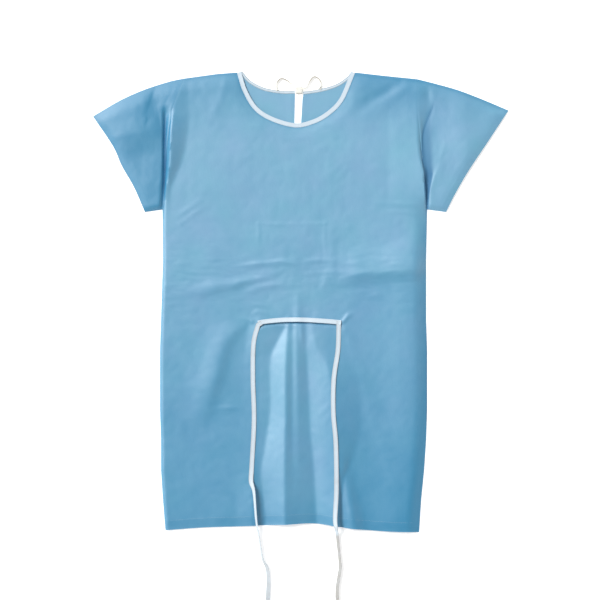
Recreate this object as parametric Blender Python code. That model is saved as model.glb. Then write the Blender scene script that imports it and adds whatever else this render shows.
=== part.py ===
"""An open-backed patient gown of non-woven cloth with short set-in sleeves, laid flat and face up.

Units are metres. +Y runs from the hem to the neck, +Z is up and the gown lies on z = 0. Left and right are the
sides as seen from above: left is -X. The origin is the middle of the gown's box, at its lowest face.

The two back panels lie on the surface. The front lies on them as one wall whose height follows a few folds. Each
sleeve is a flattened tube. The neck is bound with white tape, which is tied in a bow at the nape. A tape is sewn
across the front at the waist, and its two free ends run down over the skirt and past the hem.
"""

import math
from collections import namedtuple

import bmesh
import bpy
import numpy as np
from mathutils import Vector
from mathutils.bvhtree import BVHTree

# Cloth, tape and seams

WALL = 0.0014
SEAM_GAP = 0.0003
ARMHOLE_GAP = 0.0006
FRONT_FLOOR = WALL + SEAM_GAP
EDGE_TOP = FRONT_FLOOR + WALL
TAPE_WIDTH = 0.012
TAPE_THICKNESS = 0.001
BINDING_WIDTH = 0.0115
BINDING_TOP = 0.0042
BACK_BINDING_WIDTH = 0.0075
BACK_BINDING_THICKNESS = 0.0014

# Body outline

Side = namedtuple("Side", "y left right")
Point = namedtuple("Point", "x y")

UNDERARM_Y = 0.242
SIDES = (
    Side(-0.606, -0.3555, 0.3110),
    Side(-0.522, -0.3623, 0.3163),
    Side(-0.443, -0.3675, 0.3242),
    Side(-0.364, -0.3675, 0.3294),
    Side(-0.285, -0.3702, 0.3320),
    Side(-0.128, -0.3702, 0.3320),
    Side(-0.049, -0.3675, 0.3294),
    Side(0.110, -0.3623, 0.3294),
    Side(UNDERARM_Y, -0.3636, 0.3320),
    Side(0.306, -0.3580, 0.3282),
    Side(0.398, -0.3518, 0.3163),
    Side(0.504, -0.3386, 0.3060),
    Side(0.586, -0.3071, 0.3057),
)
HEM = (
    Point(-0.3555, -0.6010),
    Point(-0.2520, -0.5935),
    Point(-0.1570, -0.5905),
    Point(-0.0460, -0.5855),
    Point(0.0190, -0.5825),
    Point(0.0640, -0.5855),
    Point(0.1270, -0.5955),
    Point(0.2220, -0.6035),
    Point(0.3110, -0.6060),
)
BACK_HEM_RISE = 0.003

# Top line from the sleeve tips to the neck, and the cuffs

LEFT_TOP = (
    Point(-0.5460, 0.4866),
    Point(-0.4730, 0.5290),
    Point(-0.4100, 0.5570),
    Point(-0.3465, 0.5775),
    Point(-0.3071, 0.5860),
    Point(-0.2200, 0.5980),
    Point(-0.1680, 0.6020),
)
RIGHT_TOP = (
    Point(0.1430, 0.6020),
    Point(0.2216, 0.5930),
    Point(0.3057, 0.5845),
    Point(0.3478, 0.5740),
    Point(0.4109, 0.5562),
    Point(0.4741, 0.5326),
    Point(0.5460, 0.5023),
)
LEFT_ARMHOLE = 4
RIGHT_ARMHOLE = 2
LEFT_CUFF = (
    Point(-0.5460, 0.4866),
    Point(-0.4938, 0.4090),
    Point(-0.4700, 0.3564),
    Point(-0.4385, 0.3011),
    Point(-0.4096, 0.2354),
)
RIGHT_CUFF = (
    Point(0.5460, 0.5023),
    Point(0.4951, 0.4247),
    Point(0.4425, 0.3458),
    Point(0.4057, 0.2827),
    Point(0.3820, 0.2354),
)

# Neckline, as the middle of the binding

FRONT_NECK = (
    Point(-0.1624, 0.6030),
    Point(-0.1471, 0.5547),
    Point(-0.1187, 0.5079),
    Point(-0.0759, 0.4797),
    Point(-0.0150, 0.4630),
    Point(0.0335, 0.4729),
    Point(0.0738, 0.4958),
    Point(0.1074, 0.5320),
    Point(0.1375, 0.6030),
)
BACK_NECK_LEFT = (
    Point(-0.1577, 0.6034),
    Point(-0.1337, 0.5775),
    Point(-0.0974, 0.5589),
    Point(-0.0530, 0.5507),
    Point(-0.0155, 0.5503),
)
BACK_NECK_RIGHT = (
    Point(0.0063, 0.5480),
    Point(0.0496, 0.5547),
    Point(0.0940, 0.5680),
    Point(0.1248, 0.5883),
    Point(0.1356, 0.6034),
)

# Opening down the middle of the back: its edges at the neck and at the hem

Opening = namedtuple("Opening", "y left right")
BACK_OPENING = (
    Opening(-0.606, -0.0100, -0.0060),
    Opening(0.350, -0.0120, -0.0050),
    Opening(0.470, -0.0178, 0.0001),
    Opening(0.535, -0.0155, 0.0004),
    Opening(0.550, -0.0155, 0.0063),
)

# Rows and columns of the body's grid

WAIST_Y = -0.062
MIDRIFF_Y = 0.120
CHEST_Y = 0.425
SKIRT_ROWS = 13
WAIST_ROWS = 9
RIB_ROWS = 4
CHEST_ROWS = 3
NECK_ROWS = 7
SIDE_COLUMNS = 9
NECK_COLUMNS = 22
BACK_SIDE_COLUMNS = 3
BACK_NECK_COLUMNS = 7
SIDE_GRADING = 1.5
NECK_ZONE_LEFT = -0.150
NECK_ZONE_RIGHT = 0.127

# Height of the cloth between its folds, and how far in from an edge it gets there

BODY_LOFT = 0.0035
SLEEVE_LOFT = 0.0050
EDGE_ROUNDING = 0.020
LOWEST_RISE = 0.0

# Folds of the front and of the sleeves: stations along each, with its half width and its rise (a trough's is below 0)

Station = namedtuple("Station", "x y width rise")

FRONT_FOLDS = {
    "skirt ridge, left": (
        Station(-0.046, -0.070, 0.014, 0.005),
        Station(-0.058, -0.340, 0.024, 0.013),
        Station(-0.072, -0.470, 0.028, 0.015),
        Station(-0.068, -0.620, 0.030, 0.017),
    ),
    "skirt ridge, right": (
        Station(0.022, -0.070, 0.014, 0.005),
        Station(0.036, -0.260, 0.021, 0.011),
        Station(0.054, -0.400, 0.025, 0.013),
        Station(0.064, -0.620, 0.030, 0.016),
    ),
    "pleat between the ridges": (
        Station(-0.017, -0.070, 0.008, 0.005),
        Station(-0.014, -0.340, 0.009, 0.005),
        Station(-0.010, -0.470, 0.010, 0.002),
    ),
    "skirt trough beside the left tie": (
        Station(-0.100, -0.080, 0.018, -0.003),
        Station(-0.096, -0.260, 0.016, -0.003),
        Station(-0.112, -0.600, 0.014, -0.002),
    ),
    "skirt ridge outside the left tie": (
        Station(-0.150, -0.080, 0.022, 0.004),
        Station(-0.235, -0.260, 0.040, 0.007),
    ),
    "skirt ridge outside the right tie": (
        Station(0.112, -0.380, 0.016, 0.003),
        Station(0.148, -0.620, 0.024, 0.009),
    ),
    "skirt trough outside the right tie": (
        Station(0.180, -0.420, 0.026, -0.003),
        Station(0.200, -0.600, 0.028, -0.003),
    ),
    "waist ridge, left": (
        Station(-0.290, 0.034, 0.014, 0.003),
        Station(-0.200, 0.048, 0.017, 0.006),
        Station(-0.073, 0.078, 0.014, 0.003),
    ),
    "waist ridge, right": (
        Station(0.116, 0.076, 0.013, 0.002),
        Station(0.220, 0.084, 0.015, 0.005),
        Station(0.308, 0.092, 0.015, 0.005),
    ),
    "armhole fold, left": (
        Station(-0.302, 0.560, 0.012, 0.004),
        Station(-0.330, 0.480, 0.013, 0.010),
        Station(-0.341, 0.390, 0.014, 0.012),
        Station(-0.352, 0.270, 0.011, 0.008),
    ),
    "armhole fold, right": (
        Station(0.300, 0.560, 0.010, 0.004),
        Station(0.300, 0.430, 0.012, 0.007),
        Station(0.318, 0.300, 0.010, 0.005),
    ),
}
LEFT_SLEEVE_FOLDS = {
    "ridge from the shoulder": (
        Station(-0.360, 0.550, 0.020, 0.004),
        Station(-0.395, 0.480, 0.028, 0.009),
        Station(-0.460, 0.440, 0.030, 0.006),
    ),
    "ridge above the underarm": (
        Station(-0.378, 0.360, 0.016, 0.006),
        Station(-0.400, 0.290, 0.018, 0.004),
    ),
}
RIGHT_SLEEVE_FOLDS = {
    "ridge beside the armhole": (
        Station(0.352, 0.520, 0.016, 0.004),
        Station(0.356, 0.400, 0.014, 0.010),
        Station(0.352, 0.300, 0.012, 0.006),
    ),
    "ridge across the sleeve": (
        Station(0.395, 0.500, 0.030, 0.005),
        Station(0.420, 0.400, 0.034, 0.005),
    ),
}

# Sleeves: sections from the armhole to the cuff

SLEEVE_SECTIONS = 9

# Waist tape and its free ends: the middle line, and the turn of the tape about it in degrees

Turn = namedtuple("Turn", "x y turn")

WAIST_TAPE = (
    Turn(-0.1195, -0.0590, 0),
    Turn(-0.1000, -0.0535, 0),
    Turn(-0.0546, -0.0487, 0),
    Turn(0.0000, -0.0478, 0),
    Turn(0.0638, -0.0513, 0),
    Turn(0.1056, -0.0550, 0),
)
LEFT_TIE = (
    Turn(-0.1137, -0.0672, 0),
    Turn(-0.1243, -0.1144, 0),
    Turn(-0.1256, -0.2065, 0),
    Turn(-0.1227, -0.3117, 0),
    Turn(-0.1287, -0.4326, 0),
    Turn(-0.1303, -0.4720, 12),
    Turn(-0.1225, -0.5000, 50),
    Turn(-0.1161, -0.5773, 62),
    Turn(-0.1090, -0.6194, 68),
    Turn(-0.1001, -0.6746, 60),
    Turn(-0.0880, -0.7009, 40),
    Turn(-0.0848, -0.7350, 25),
    Turn(-0.0864, -0.7850, 10),
    Turn(-0.0880, -0.8300, 0),
)
RIGHT_TIE = (
    Turn(0.0996, -0.0622, 0),
    Turn(0.0974, -0.1276, 0),
    Turn(0.0864, -0.2038, 0),
    Turn(0.0853, -0.2906, 0),
    Turn(0.0917, -0.3721, 0),
    Turn(0.0932, -0.4930, 0),
    Turn(0.0900, -0.5710, 20),
    Turn(0.0950, -0.6050, 48),
    Turn(0.1022, -0.6746, 55),
    Turn(0.1037, -0.7009, 50),
    Turn(0.0965, -0.7500, 45),
    Turn(0.0961, -0.7850, 40),
    Turn(0.0985, -0.8240, 30),
)
WAIST_TAPE_STATIONS = 18
TIE_STATIONS = 32

# Bow at the nape: the knot, and the two loops that stand on edge beside it

KNOT_CENTRE = Vector((-0.0046, 0.5560, 0.0))
KNOT_SIZE = Vector((0.0205, 0.0225, 0.0060))
KNOT_BEVEL = 0.0026
LEFT_LOOP = (
    Point(-0.0640, 0.5575),
    Point(-0.0625, 0.5745),
    Point(-0.0500, 0.5850),
    Point(-0.0330, 0.5800),
    Point(-0.0157, 0.5640),
)
RIGHT_LOOP = (
    Point(0.0500, 0.5610),
    Point(0.0515, 0.5760),
    Point(0.0380, 0.5905),
    Point(0.0250, 0.5830),
    Point(0.0065, 0.5640),
)
LOOP_STATIONS = 14
LOOP_HEIGHT = 0.0100
LOOP_THICKNESS = 0.0012

# Colours of the cloth and of the tape

CLOTH_BLUE = (0.216, 0.456, 0.640, 1.0)
TAPE_WHITE = (0.760, 0.800, 0.820, 1.0)
CLOTH_ROUGHNESS = 0.82
TAPE_ROUGHNESS = 0.70


def curve_through(points, count):
    """Count + 1 places, evenly spaced along a smooth curve through the points, each a row of the points' columns."""
    known = np.array(points, float)
    first = 2 * known[0] - known[1]
    last = 2 * known[-1] - known[-2]
    padded = np.vstack([first, known, last])
    dense = []
    for before, start, end, after in zip(padded, padded[1:], padded[2:], padded[3:]):
        for t in np.linspace(0, 1, 24, endpoint=False):
            dense.append(
                0.5
                * (
                    2 * start
                    + (end - before) * t
                    + (2 * before - 5 * start + 4 * end - after) * t**2
                    + (3 * start - before - 3 * end + after) * t**3
                )
            )
    dense.append(known[-1])
    dense = np.array(dense)
    steps = np.linalg.norm(np.diff(dense[:, :2], axis=0), axis=1)
    run = np.concatenate([[0], np.cumsum(steps)])
    wanted = np.linspace(0, run[-1], count + 1)
    return np.stack([np.interp(wanted, run, column) for column in dense.T], axis=1)


def moved_sideways(line, distance):
    """The line in plan, moved to its left by the distance."""
    along = np.gradient(line[:, :2], axis=0)
    along /= np.linalg.norm(along, axis=1)[:, None]
    return line[:, :2] + distance * np.stack([-along[:, 1], along[:, 0]], axis=1)


def nearest_on(line, x, y):
    """For each point: its distance to the line in plan, and the line's other columns at the nearest place."""
    best = np.full(x.shape, np.inf)
    found = np.zeros(x.shape + (line.shape[1] - 2,))
    for start, end in zip(line, line[1:]):
        run = end[:2] - start[:2]
        share = ((x - start[0]) * run[0] + (y - start[1]) * run[1]) / (run @ run)
        share = np.clip(share, 0, 1)
        distance = np.hypot(x - start[0] - share * run[0], y - start[1] - share * run[1])
        nearer = distance < best
        best = np.where(nearer, distance, best)
        values = start[2:] + share[..., None] * (end[2:] - start[2:])
        found = np.where(nearer[..., None], values, found)
    return best, found


def fold_height(folds, x, y):
    """The sum of the folds' rises at each point: each fold is a soft ridge or trough with round ends."""
    total = np.zeros(x.shape)
    for stations in folds.values():
        distance, columns = nearest_on(np.array(stations), x, y)
        width, rise = columns[..., 0], columns[..., 1]
        total += rise * np.exp(-((distance / width) ** 2))
    return total


def eased(distance):
    """0 at an edge of the cloth, 1 from the rounding's width inward."""
    share = np.clip(distance / EDGE_ROUNDING, 0, 1)
    return np.sin(share * math.pi / 2)


def left_side(y):
    return np.interp(y, [row.y for row in SIDES], [row.left for row in SIDES])


def right_side(y):
    return np.interp(y, [row.y for row in SIDES], [row.right for row in SIDES])


def hem_y(x):
    return np.interp(x, [point.x for point in HEM], [point.y for point in HEM])


def opening_edge(y, side):
    """x of the back opening's left or right edge."""
    return np.interp(y, [row.y for row in BACK_OPENING], [getattr(row, side) for row in BACK_OPENING])


def top_line(points, x):
    return np.interp(x, [point.x for point in points], [point.y for point in points])


def row_shares():
    """The rows of the body as (zone, share): the share runs from 0 to 1 up each zone."""
    counts = (("skirt", SKIRT_ROWS), ("waist", WAIST_ROWS), ("ribs", RIB_ROWS), ("chest", CHEST_ROWS))
    rows = [(zone, step / count) for zone, count in counts for step in range(count)]
    return rows + [("neck", step / NECK_ROWS) for step in range(NECK_ROWS + 1)]


def row_height(zone, share, x, top, hem_rise):
    """y of a row at a column whose top point is given."""
    hem = hem_y(x) + hem_rise
    start, end = {
        "skirt": (hem, WAIST_Y),
        "waist": (WAIST_Y, MIDRIFF_Y),
        "ribs": (MIDRIFF_Y, UNDERARM_Y),
        "chest": (UNDERARM_Y, CHEST_Y),
        "neck": (CHEST_Y, top),
    }[zone]
    return start + share * (end - start)


def body_grid(tops, across, hem_rise=0.0):
    """Plan of a body panel: its rows of points, from each column's top point and its x at a height."""
    rows = []
    for zone, share in row_shares():
        row = []
        for column, (top_x, top_y) in enumerate(tops):
            y = row_height(zone, share, across(column, SIDES[0].y), top_y, hem_rise)
            x = across(column, y)
            if zone == "neck":
                x += share * (top_x - across(column, top_y))
            row.append((x, y))
        rows.append(row)
    return np.array(rows)


def side_shares(count):
    """Shares of the way in from a side edge, closest together at the edge."""
    return [(step / count) ** SIDE_GRADING for step in range(count)]


def front_plan():
    neck = moved_sideways(curve_through(FRONT_NECK, NECK_COLUMNS), -(BINDING_WIDTH / 2 + SEAM_GAP))
    neck[:, 1] = np.minimum(neck[:, 1], top_line(LEFT_TOP + RIGHT_TOP, neck[:, 0]))
    left_x = LEFT_TOP[LEFT_ARMHOLE].x
    right_x = RIGHT_TOP[RIGHT_ARMHOLE].x
    shares = side_shares(SIDE_COLUMNS)
    tops = [(left_x + share * (neck[0, 0] - left_x), 0) for share in shares]
    tops += [tuple(point) for point in neck]
    tops += [(right_x + share * (neck[-1, 0] - right_x), 0) for share in reversed(shares)]
    for column, (x, y) in enumerate(tops):
        if not SIDE_COLUMNS <= column <= SIDE_COLUMNS + NECK_COLUMNS:
            tops[column] = (x, float(top_line(LEFT_TOP if x < 0 else RIGHT_TOP, x)))

    wide_left = left_side(WAIST_Y)
    wide_right = right_side(WAIST_Y)
    low = [wide_left + share * (NECK_ZONE_LEFT - wide_left) for share in shares]
    low += list(np.linspace(NECK_ZONE_LEFT, NECK_ZONE_RIGHT, NECK_COLUMNS + 1))
    low += [wide_right + share * (NECK_ZONE_RIGHT - wide_right) for share in reversed(shares)]
    parts = [(x - wide_left) / (wide_right - wide_left) for x in low]

    def across(column, y):
        return left_side(y) + parts[column] * (right_side(y) - left_side(y))

    return body_grid(tops, across)


def back_plan(side):
    """Plan of one back panel, from its side seam to the opening."""
    if side == "left":
        neck = moved_sideways(curve_through(BACK_NECK_LEFT, BACK_NECK_COLUMNS), -back_seam())
        start, edge_top, outer = LEFT_TOP[LEFT_ARMHOLE].x, LEFT_TOP, left_side
    else:
        neck = moved_sideways(curve_through(BACK_NECK_RIGHT, BACK_NECK_COLUMNS), -back_seam())[::-1]
        start, edge_top, outer = RIGHT_TOP[RIGHT_ARMHOLE].x, RIGHT_TOP, right_side
    neck[0, 1] = min(neck[0, 1], float(top_line(edge_top, neck[0, 0])))
    outside = [start + step / BACK_SIDE_COLUMNS * (neck[0, 0] - start) for step in range(BACK_SIDE_COLUMNS)]
    tops = [(x, float(top_line(edge_top, x))) for x in outside]
    tops += [tuple(point) for point in neck]
    last = len(tops) - 1

    def across(column, y):
        return outer(y) + column / last * (opening_edge(y, side) - outer(y))

    return body_grid(tops, across, BACK_HEM_RISE)


def back_seam():
    return BACK_BINDING_WIDTH / 2 + SEAM_GAP


def armhole_rows():
    """Rows of the body's grid from the underarm to the shoulder."""
    return range(SKIRT_ROWS + WAIST_ROWS + RIB_ROWS, len(row_shares()))


def material(name, colour, roughness):
    made = bpy.data.materials.new(name)
    made.use_nodes = True
    shader = made.node_tree.nodes["Principled BSDF"]
    shader.inputs["Base Color"].default_value = colour
    shader.inputs["Roughness"].default_value = roughness
    shader.inputs["Metallic"].default_value = 0.0
    made.diffuse_color = colour
    return made


def cloth():
    return bpy.data.materials.get("nonwoven cloth") or material("nonwoven cloth", CLOTH_BLUE, CLOTH_ROUGHNESS)


def white_tape():
    return bpy.data.materials.get("white tape") or material("white tape", TAPE_WHITE, TAPE_ROUGHNESS)


def finish_object(name, bm, finish):
    """Turns the mesh into a named object with its faces pointing out."""
    bmesh.ops.recalc_face_normals(bm, faces=bm.faces)
    mesh = bpy.data.meshes.new(name)
    bm.to_mesh(mesh)
    bm.free()
    mesh.materials.append(finish)
    mesh.shade_smooth()
    mesh.set_sharp_from_angle(angle=math.radians(40))
    made = bpy.data.objects.new(name, mesh)
    bpy.context.scene.collection.objects.link(made)
    return made


def wall_from_grid(name, plan, top, wall, finish):
    """A wall of the given thickness below a grid of points: plan holds x and y, top the height of the upper face."""
    rows, columns = plan.shape[:2]
    bm = bmesh.new()
    bmesh.ops.create_grid(bm, x_segments=columns - 1, y_segments=rows - 1, size=0.5)
    for vert in bm.verts:
        column = round((vert.co.x + 0.5) * (columns - 1))
        row = round((vert.co.y + 0.5) * (rows - 1))
        vert.co = (*plan[row, column], top[row, column])
    lower = bmesh.ops.extrude_face_region(bm, geom=list(bm.faces))["geom"]
    for vert in [item for item in lower if isinstance(item, bmesh.types.BMVert)]:
        vert.co.z -= wall
    return finish_object(name, bm, finish)


def solid_from_rings(name, rings, finish, closed=False):
    """A solid through rings of points: its ends are capped, or joined to each other where it is closed."""
    bm = bmesh.new()
    verts = [bm.verts.new(point) for point in rings[0]]
    first = [bm.edges.new((start, end)) for start, end in zip(verts, verts[1:] + verts[:1])]
    edges = first
    for ring in rings[1:]:
        grown = bmesh.ops.extrude_edge_only(bm, edges=edges)["geom"]
        edges = [item for item in grown if isinstance(item, bmesh.types.BMEdge)]
        bm.verts.ensure_lookup_table()
        for vert, point in zip(list(bm.verts)[-len(ring):], ring):
            vert.co = point
    if closed:
        bmesh.ops.bridge_loops(bm, edges=first + edges)
    else:
        bmesh.ops.contextual_create(bm, geom=first)
        bmesh.ops.contextual_create(bm, geom=edges)
    return finish_object(name, bm, finish)


def front_outline():
    """The front's edge lines that lie down on the back: both sides, both shoulders and the neck."""
    heights = np.linspace(SIDES[0].y, SIDES[-1].y, 40)
    left = np.stack([left_side(heights), heights], axis=1)
    right = np.stack([right_side(heights), heights], axis=1)[::-1]
    shoulder_left = np.array(LEFT_TOP[LEFT_ARMHOLE + 1:])
    shoulder_right = np.array(RIGHT_TOP[:RIGHT_ARMHOLE])
    neck = moved_sideways(curve_through(FRONT_NECK, NECK_COLUMNS), -(BINDING_WIDTH / 2 + SEAM_GAP))
    return np.vstack([left, shoulder_left, neck, shoulder_right, right])


def front_top(x, y):
    """Height of the front's upper face."""
    distance, _ = nearest_on(front_outline(), x, y)
    rise = np.maximum(BODY_LOFT + fold_height(FRONT_FOLDS, x, y), LOWEST_RISE)
    return EDGE_TOP + eased(distance) * rise


def make_front():
    plan = front_plan()
    top = front_top(plan[..., 0], plan[..., 1])
    return wall_from_grid("front", plan, top, WALL, cloth())


def make_back(side):
    plan = back_plan(side)
    top = np.full(plan.shape[:2], WALL)
    return wall_from_grid(f"back_{side}", plan, top, WALL, cloth())


def sleeve_patch(side):
    """Plan of a sleeve: points from the armhole to the cuff, each section from the top line to the underarm."""
    column = 0 if side == "left" else -1
    outward = -1 if side == "left" else 1
    armhole = front_plan()[list(armhole_rows())[::-1], column]
    armhole[:, 0] += outward * ARMHOLE_GAP
    down = len(armhole) - 1
    cuff = curve_through(LEFT_CUFF if side == "left" else RIGHT_CUFF, down)
    top = LEFT_TOP[LEFT_ARMHOLE::-1] if side == "left" else RIGHT_TOP[RIGHT_ARMHOLE:]
    top = curve_through(top, SLEEVE_SECTIONS)
    top[0] = armhole[0]
    under = np.linspace(armhole[-1], cuff[-1], SLEEVE_SECTIONS + 1)
    patch = np.zeros((SLEEVE_SECTIONS + 1, down + 1, 2))
    for section in range(SLEEVE_SECTIONS + 1):
        out = section / SLEEVE_SECTIONS
        for place in range(down + 1):
            low = place / down
            between_ends = (1 - out) * armhole[place] + out * cuff[place]
            between_edges = (1 - low) * top[section] + low * under[section]
            corners = (1 - out) * ((1 - low) * armhole[0] + low * armhole[-1])
            corners = corners + out * ((1 - low) * cuff[0] + low * cuff[-1])
            patch[section, place] = between_ends + between_edges - corners
    return patch


def sleeve_top(side, patch):
    """Height of a sleeve's upper face over its plan."""
    x, y = patch[..., 0], patch[..., 1]
    edges = np.vstack([patch[::-1, 0], patch[0, 1:], patch[1:, -1]])
    distance, _ = nearest_on(edges, x, y)
    folds = LEFT_SLEEVE_FOLDS if side == "left" else RIGHT_SLEEVE_FOLDS
    rise = np.maximum(SLEEVE_LOFT + fold_height(folds, x, y), LOWEST_RISE)
    return EDGE_TOP + eased(distance) * rise


def drawn_in(section, inset):
    """The section's points, drawn in from both its ends by the inset."""
    length = np.linalg.norm(section[-1] - section[0])
    share = inset / length
    places = np.linspace(0, 1, len(section))
    wanted = share + places * (1 - 2 * share)
    return np.stack([np.interp(wanted, places, column) for column in section.T], axis=1)


def make_sleeve(side):
    """A flattened tube: the outer rings run out to the cuff, and the inner rings run back inside them."""
    patch = sleeve_patch(side)
    top = sleeve_top(side, patch)
    sections = [np.column_stack([plan, height]) for plan, height in zip(patch, top)]
    outer = []
    inner = []
    for section in sections:
        within = drawn_in(section, WALL)
        upper = [Vector(point) for point in section]
        lower = [Vector((x, y, 0.0)) for x, y, _ in section[::-1]]
        outer.append(upper + lower)
        upper = [Vector((x, y, z - WALL)) for x, y, z in within]
        lower = [Vector((x, y, WALL)) for x, y, _ in within[::-1]]
        inner.append(upper + lower)
    return solid_from_rings(f"sleeve_{side}", outer + inner[::-1], cloth(), closed=True)


def flat_ring(left, right, bottom, top):
    return [
        Vector((*left, bottom)),
        Vector((*right, bottom)),
        Vector((*right, top)),
        Vector((*left, top)),
    ]


def make_binding(name, points, count, width, bottom, top):
    """A flat strip along a neckline."""
    line = curve_through(points, count)
    left = moved_sideways(line, width / 2)
    right = moved_sideways(line, -width / 2)
    rings = [flat_ring(a, b, bottom, top) for a, b in zip(left, right)]
    return solid_from_rings(name, rings, white_tape())


def cloth_below(trees, x, y):
    """Height of the highest cloth at a place, or of the surface the gown lies on."""
    heights = [0.0]
    for tree in trees:
        hit = tree.ray_cast(Vector((x, y, 1.0)), Vector((0, 0, -1)))[0]
        if hit is not None:
            heights.append(hit.z + SEAM_GAP)
    return max(heights)


def rest_height(trees, place, along, across, half_step, half_width):
    """The height at which a stretch of tape lies on what is below it."""
    samples = [
        place + forward * half_step * along + aside * half_width * across
        for forward in (-1, -0.5, 0, 0.5, 1)
        for aside in (-1, 0, 1)
    ]
    return max(cloth_below(trees, x, y) for x, y in samples)


def make_tape(name, points, count, carried_by):
    """A tape that lies on the cloth, turned about its middle line where its row says so."""
    graph = bpy.context.evaluated_depsgraph_get()
    trees = [BVHTree.FromObject(piece, graph) for piece in carried_by]
    line = curve_through(points, count)
    along = np.gradient(line[:, :2], axis=0)
    half_step = np.linalg.norm(along[0]) / 2
    along /= np.linalg.norm(along, axis=1)[:, None]
    rings = []
    for (x, y, turn), forward in zip(line, along):
        angle = math.radians(turn)
        across = np.array([forward[1], -forward[0]])
        reach = TAPE_WIDTH / 2 * math.cos(angle)
        lean = TAPE_WIDTH / 2 * math.sin(angle)
        base = rest_height(trees, np.array([x, y]), forward, across, half_step, reach)
        wide = Vector((*(across * reach), lean))
        thick = Vector((*(-across * math.sin(angle)), math.cos(angle))) * TAPE_THICKNESS
        middle = Vector((x, y, base + lean))
        rings.append([middle - wide, middle + wide, middle + wide + thick, middle - wide + thick])
    return solid_from_rings(name, rings, white_tape())


def make_loop(name, points):
    """A loop of the bow: tape standing on edge on the surface."""
    line = curve_through(points, LOOP_STATIONS)
    left = moved_sideways(line, LOOP_THICKNESS / 2)
    right = moved_sideways(line, -LOOP_THICKNESS / 2)
    rings = [flat_ring(a, b, 0.0, LOOP_HEIGHT) for a, b in zip(left, right)]
    return solid_from_rings(name, rings, white_tape())


def make_knot():
    """The bow's knot: a rounded block with a flat underside."""
    bm = bmesh.new()
    bmesh.ops.create_cube(bm, size=1.0)
    bmesh.ops.scale(bm, vec=KNOT_SIZE, verts=bm.verts)
    bmesh.ops.translate(bm, vec=KNOT_CENTRE + Vector((0, 0, KNOT_SIZE.z / 2)), verts=bm.verts)
    upper = [edge for edge in bm.edges if max(vert.co.z for vert in edge.verts) > KNOT_SIZE.z / 2]
    bmesh.ops.bevel(
        bm,
        geom=upper,
        offset=KNOT_BEVEL,
        offset_type="OFFSET",
        segments=3,
        profile=0.5,
        affect="EDGES",
        material=-1,
    )
    return finish_object("neck_knot", bm, white_tape())


def clear_scene():
    for thing in list(bpy.data.objects):
        bpy.data.objects.remove(thing, do_unlink=True)


def main():
    clear_scene()
    front = make_front()
    make_back("left")
    make_back("right")
    make_sleeve("left")
    make_sleeve("right")
    make_binding("neck_binding_front", FRONT_NECK, NECK_COLUMNS, BINDING_WIDTH, FRONT_FLOOR, BINDING_TOP)
    make_binding(
        "neck_binding_back_left",
        BACK_NECK_LEFT,
        BACK_NECK_COLUMNS,
        BACK_BINDING_WIDTH,
        0.0,
        BACK_BINDING_THICKNESS,
    )
    make_binding(
        "neck_binding_back_right",
        BACK_NECK_RIGHT,
        BACK_NECK_COLUMNS,
        BACK_BINDING_WIDTH,
        0.0,
        BACK_BINDING_THICKNESS,
    )
    make_knot()
    make_loop("neck_loop_left", LEFT_LOOP)
    make_loop("neck_loop_right", RIGHT_LOOP)
    make_tape("waist_tape", WAIST_TAPE, WAIST_TAPE_STATIONS, [front])
    make_tape("waist_tie_left", LEFT_TIE, TIE_STATIONS, [front])
    make_tape("waist_tie_right", RIGHT_TIE, TIE_STATIONS, [front])


main()
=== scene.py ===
import math
from collections import namedtuple

import bmesh
import bpy
import numpy as np
from bpy.props import FloatProperty, FloatVectorProperty, IntProperty, PointerProperty
from mathutils import Matrix, Vector, noise


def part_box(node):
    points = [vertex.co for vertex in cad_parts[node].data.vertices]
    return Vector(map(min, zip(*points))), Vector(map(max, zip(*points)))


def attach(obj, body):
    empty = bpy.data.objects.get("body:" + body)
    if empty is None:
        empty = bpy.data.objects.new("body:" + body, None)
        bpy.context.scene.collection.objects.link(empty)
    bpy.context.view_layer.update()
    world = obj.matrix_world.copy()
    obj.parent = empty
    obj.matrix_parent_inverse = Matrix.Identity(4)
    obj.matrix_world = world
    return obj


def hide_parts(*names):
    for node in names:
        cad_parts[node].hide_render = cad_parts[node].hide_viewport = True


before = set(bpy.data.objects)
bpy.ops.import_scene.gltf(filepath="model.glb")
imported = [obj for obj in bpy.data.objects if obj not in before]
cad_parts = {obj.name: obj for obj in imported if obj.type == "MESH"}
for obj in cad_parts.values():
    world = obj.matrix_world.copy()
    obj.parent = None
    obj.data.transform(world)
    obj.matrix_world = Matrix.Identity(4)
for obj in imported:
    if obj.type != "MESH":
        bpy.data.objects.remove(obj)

bl_info = {
    "name": "Non-woven gown",
    "version": (1, 0, 0),
    "blender": (4, 5, 0),
    "location": "View3D > Sidebar > Gown",
    "description": "Models an open-backed non-woven gown laid flat, with its tapes, ties and stitching",
    "category": "Object",
}

# Left and right are the sides as seen from above: left is -X. +Y runs from the hem to the neck

Side = namedtuple("Side", "y left right")
Point = namedtuple("Point", "x y")
Turn = namedtuple("Turn", "x y turn")
Station = namedtuple("Station", "x y width rise")
Fold = namedtuple("Fold", "lean stations crisp", defaults=(False,))
Line = namedtuple("Line", "x y rise")

# Outline of the body

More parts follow.
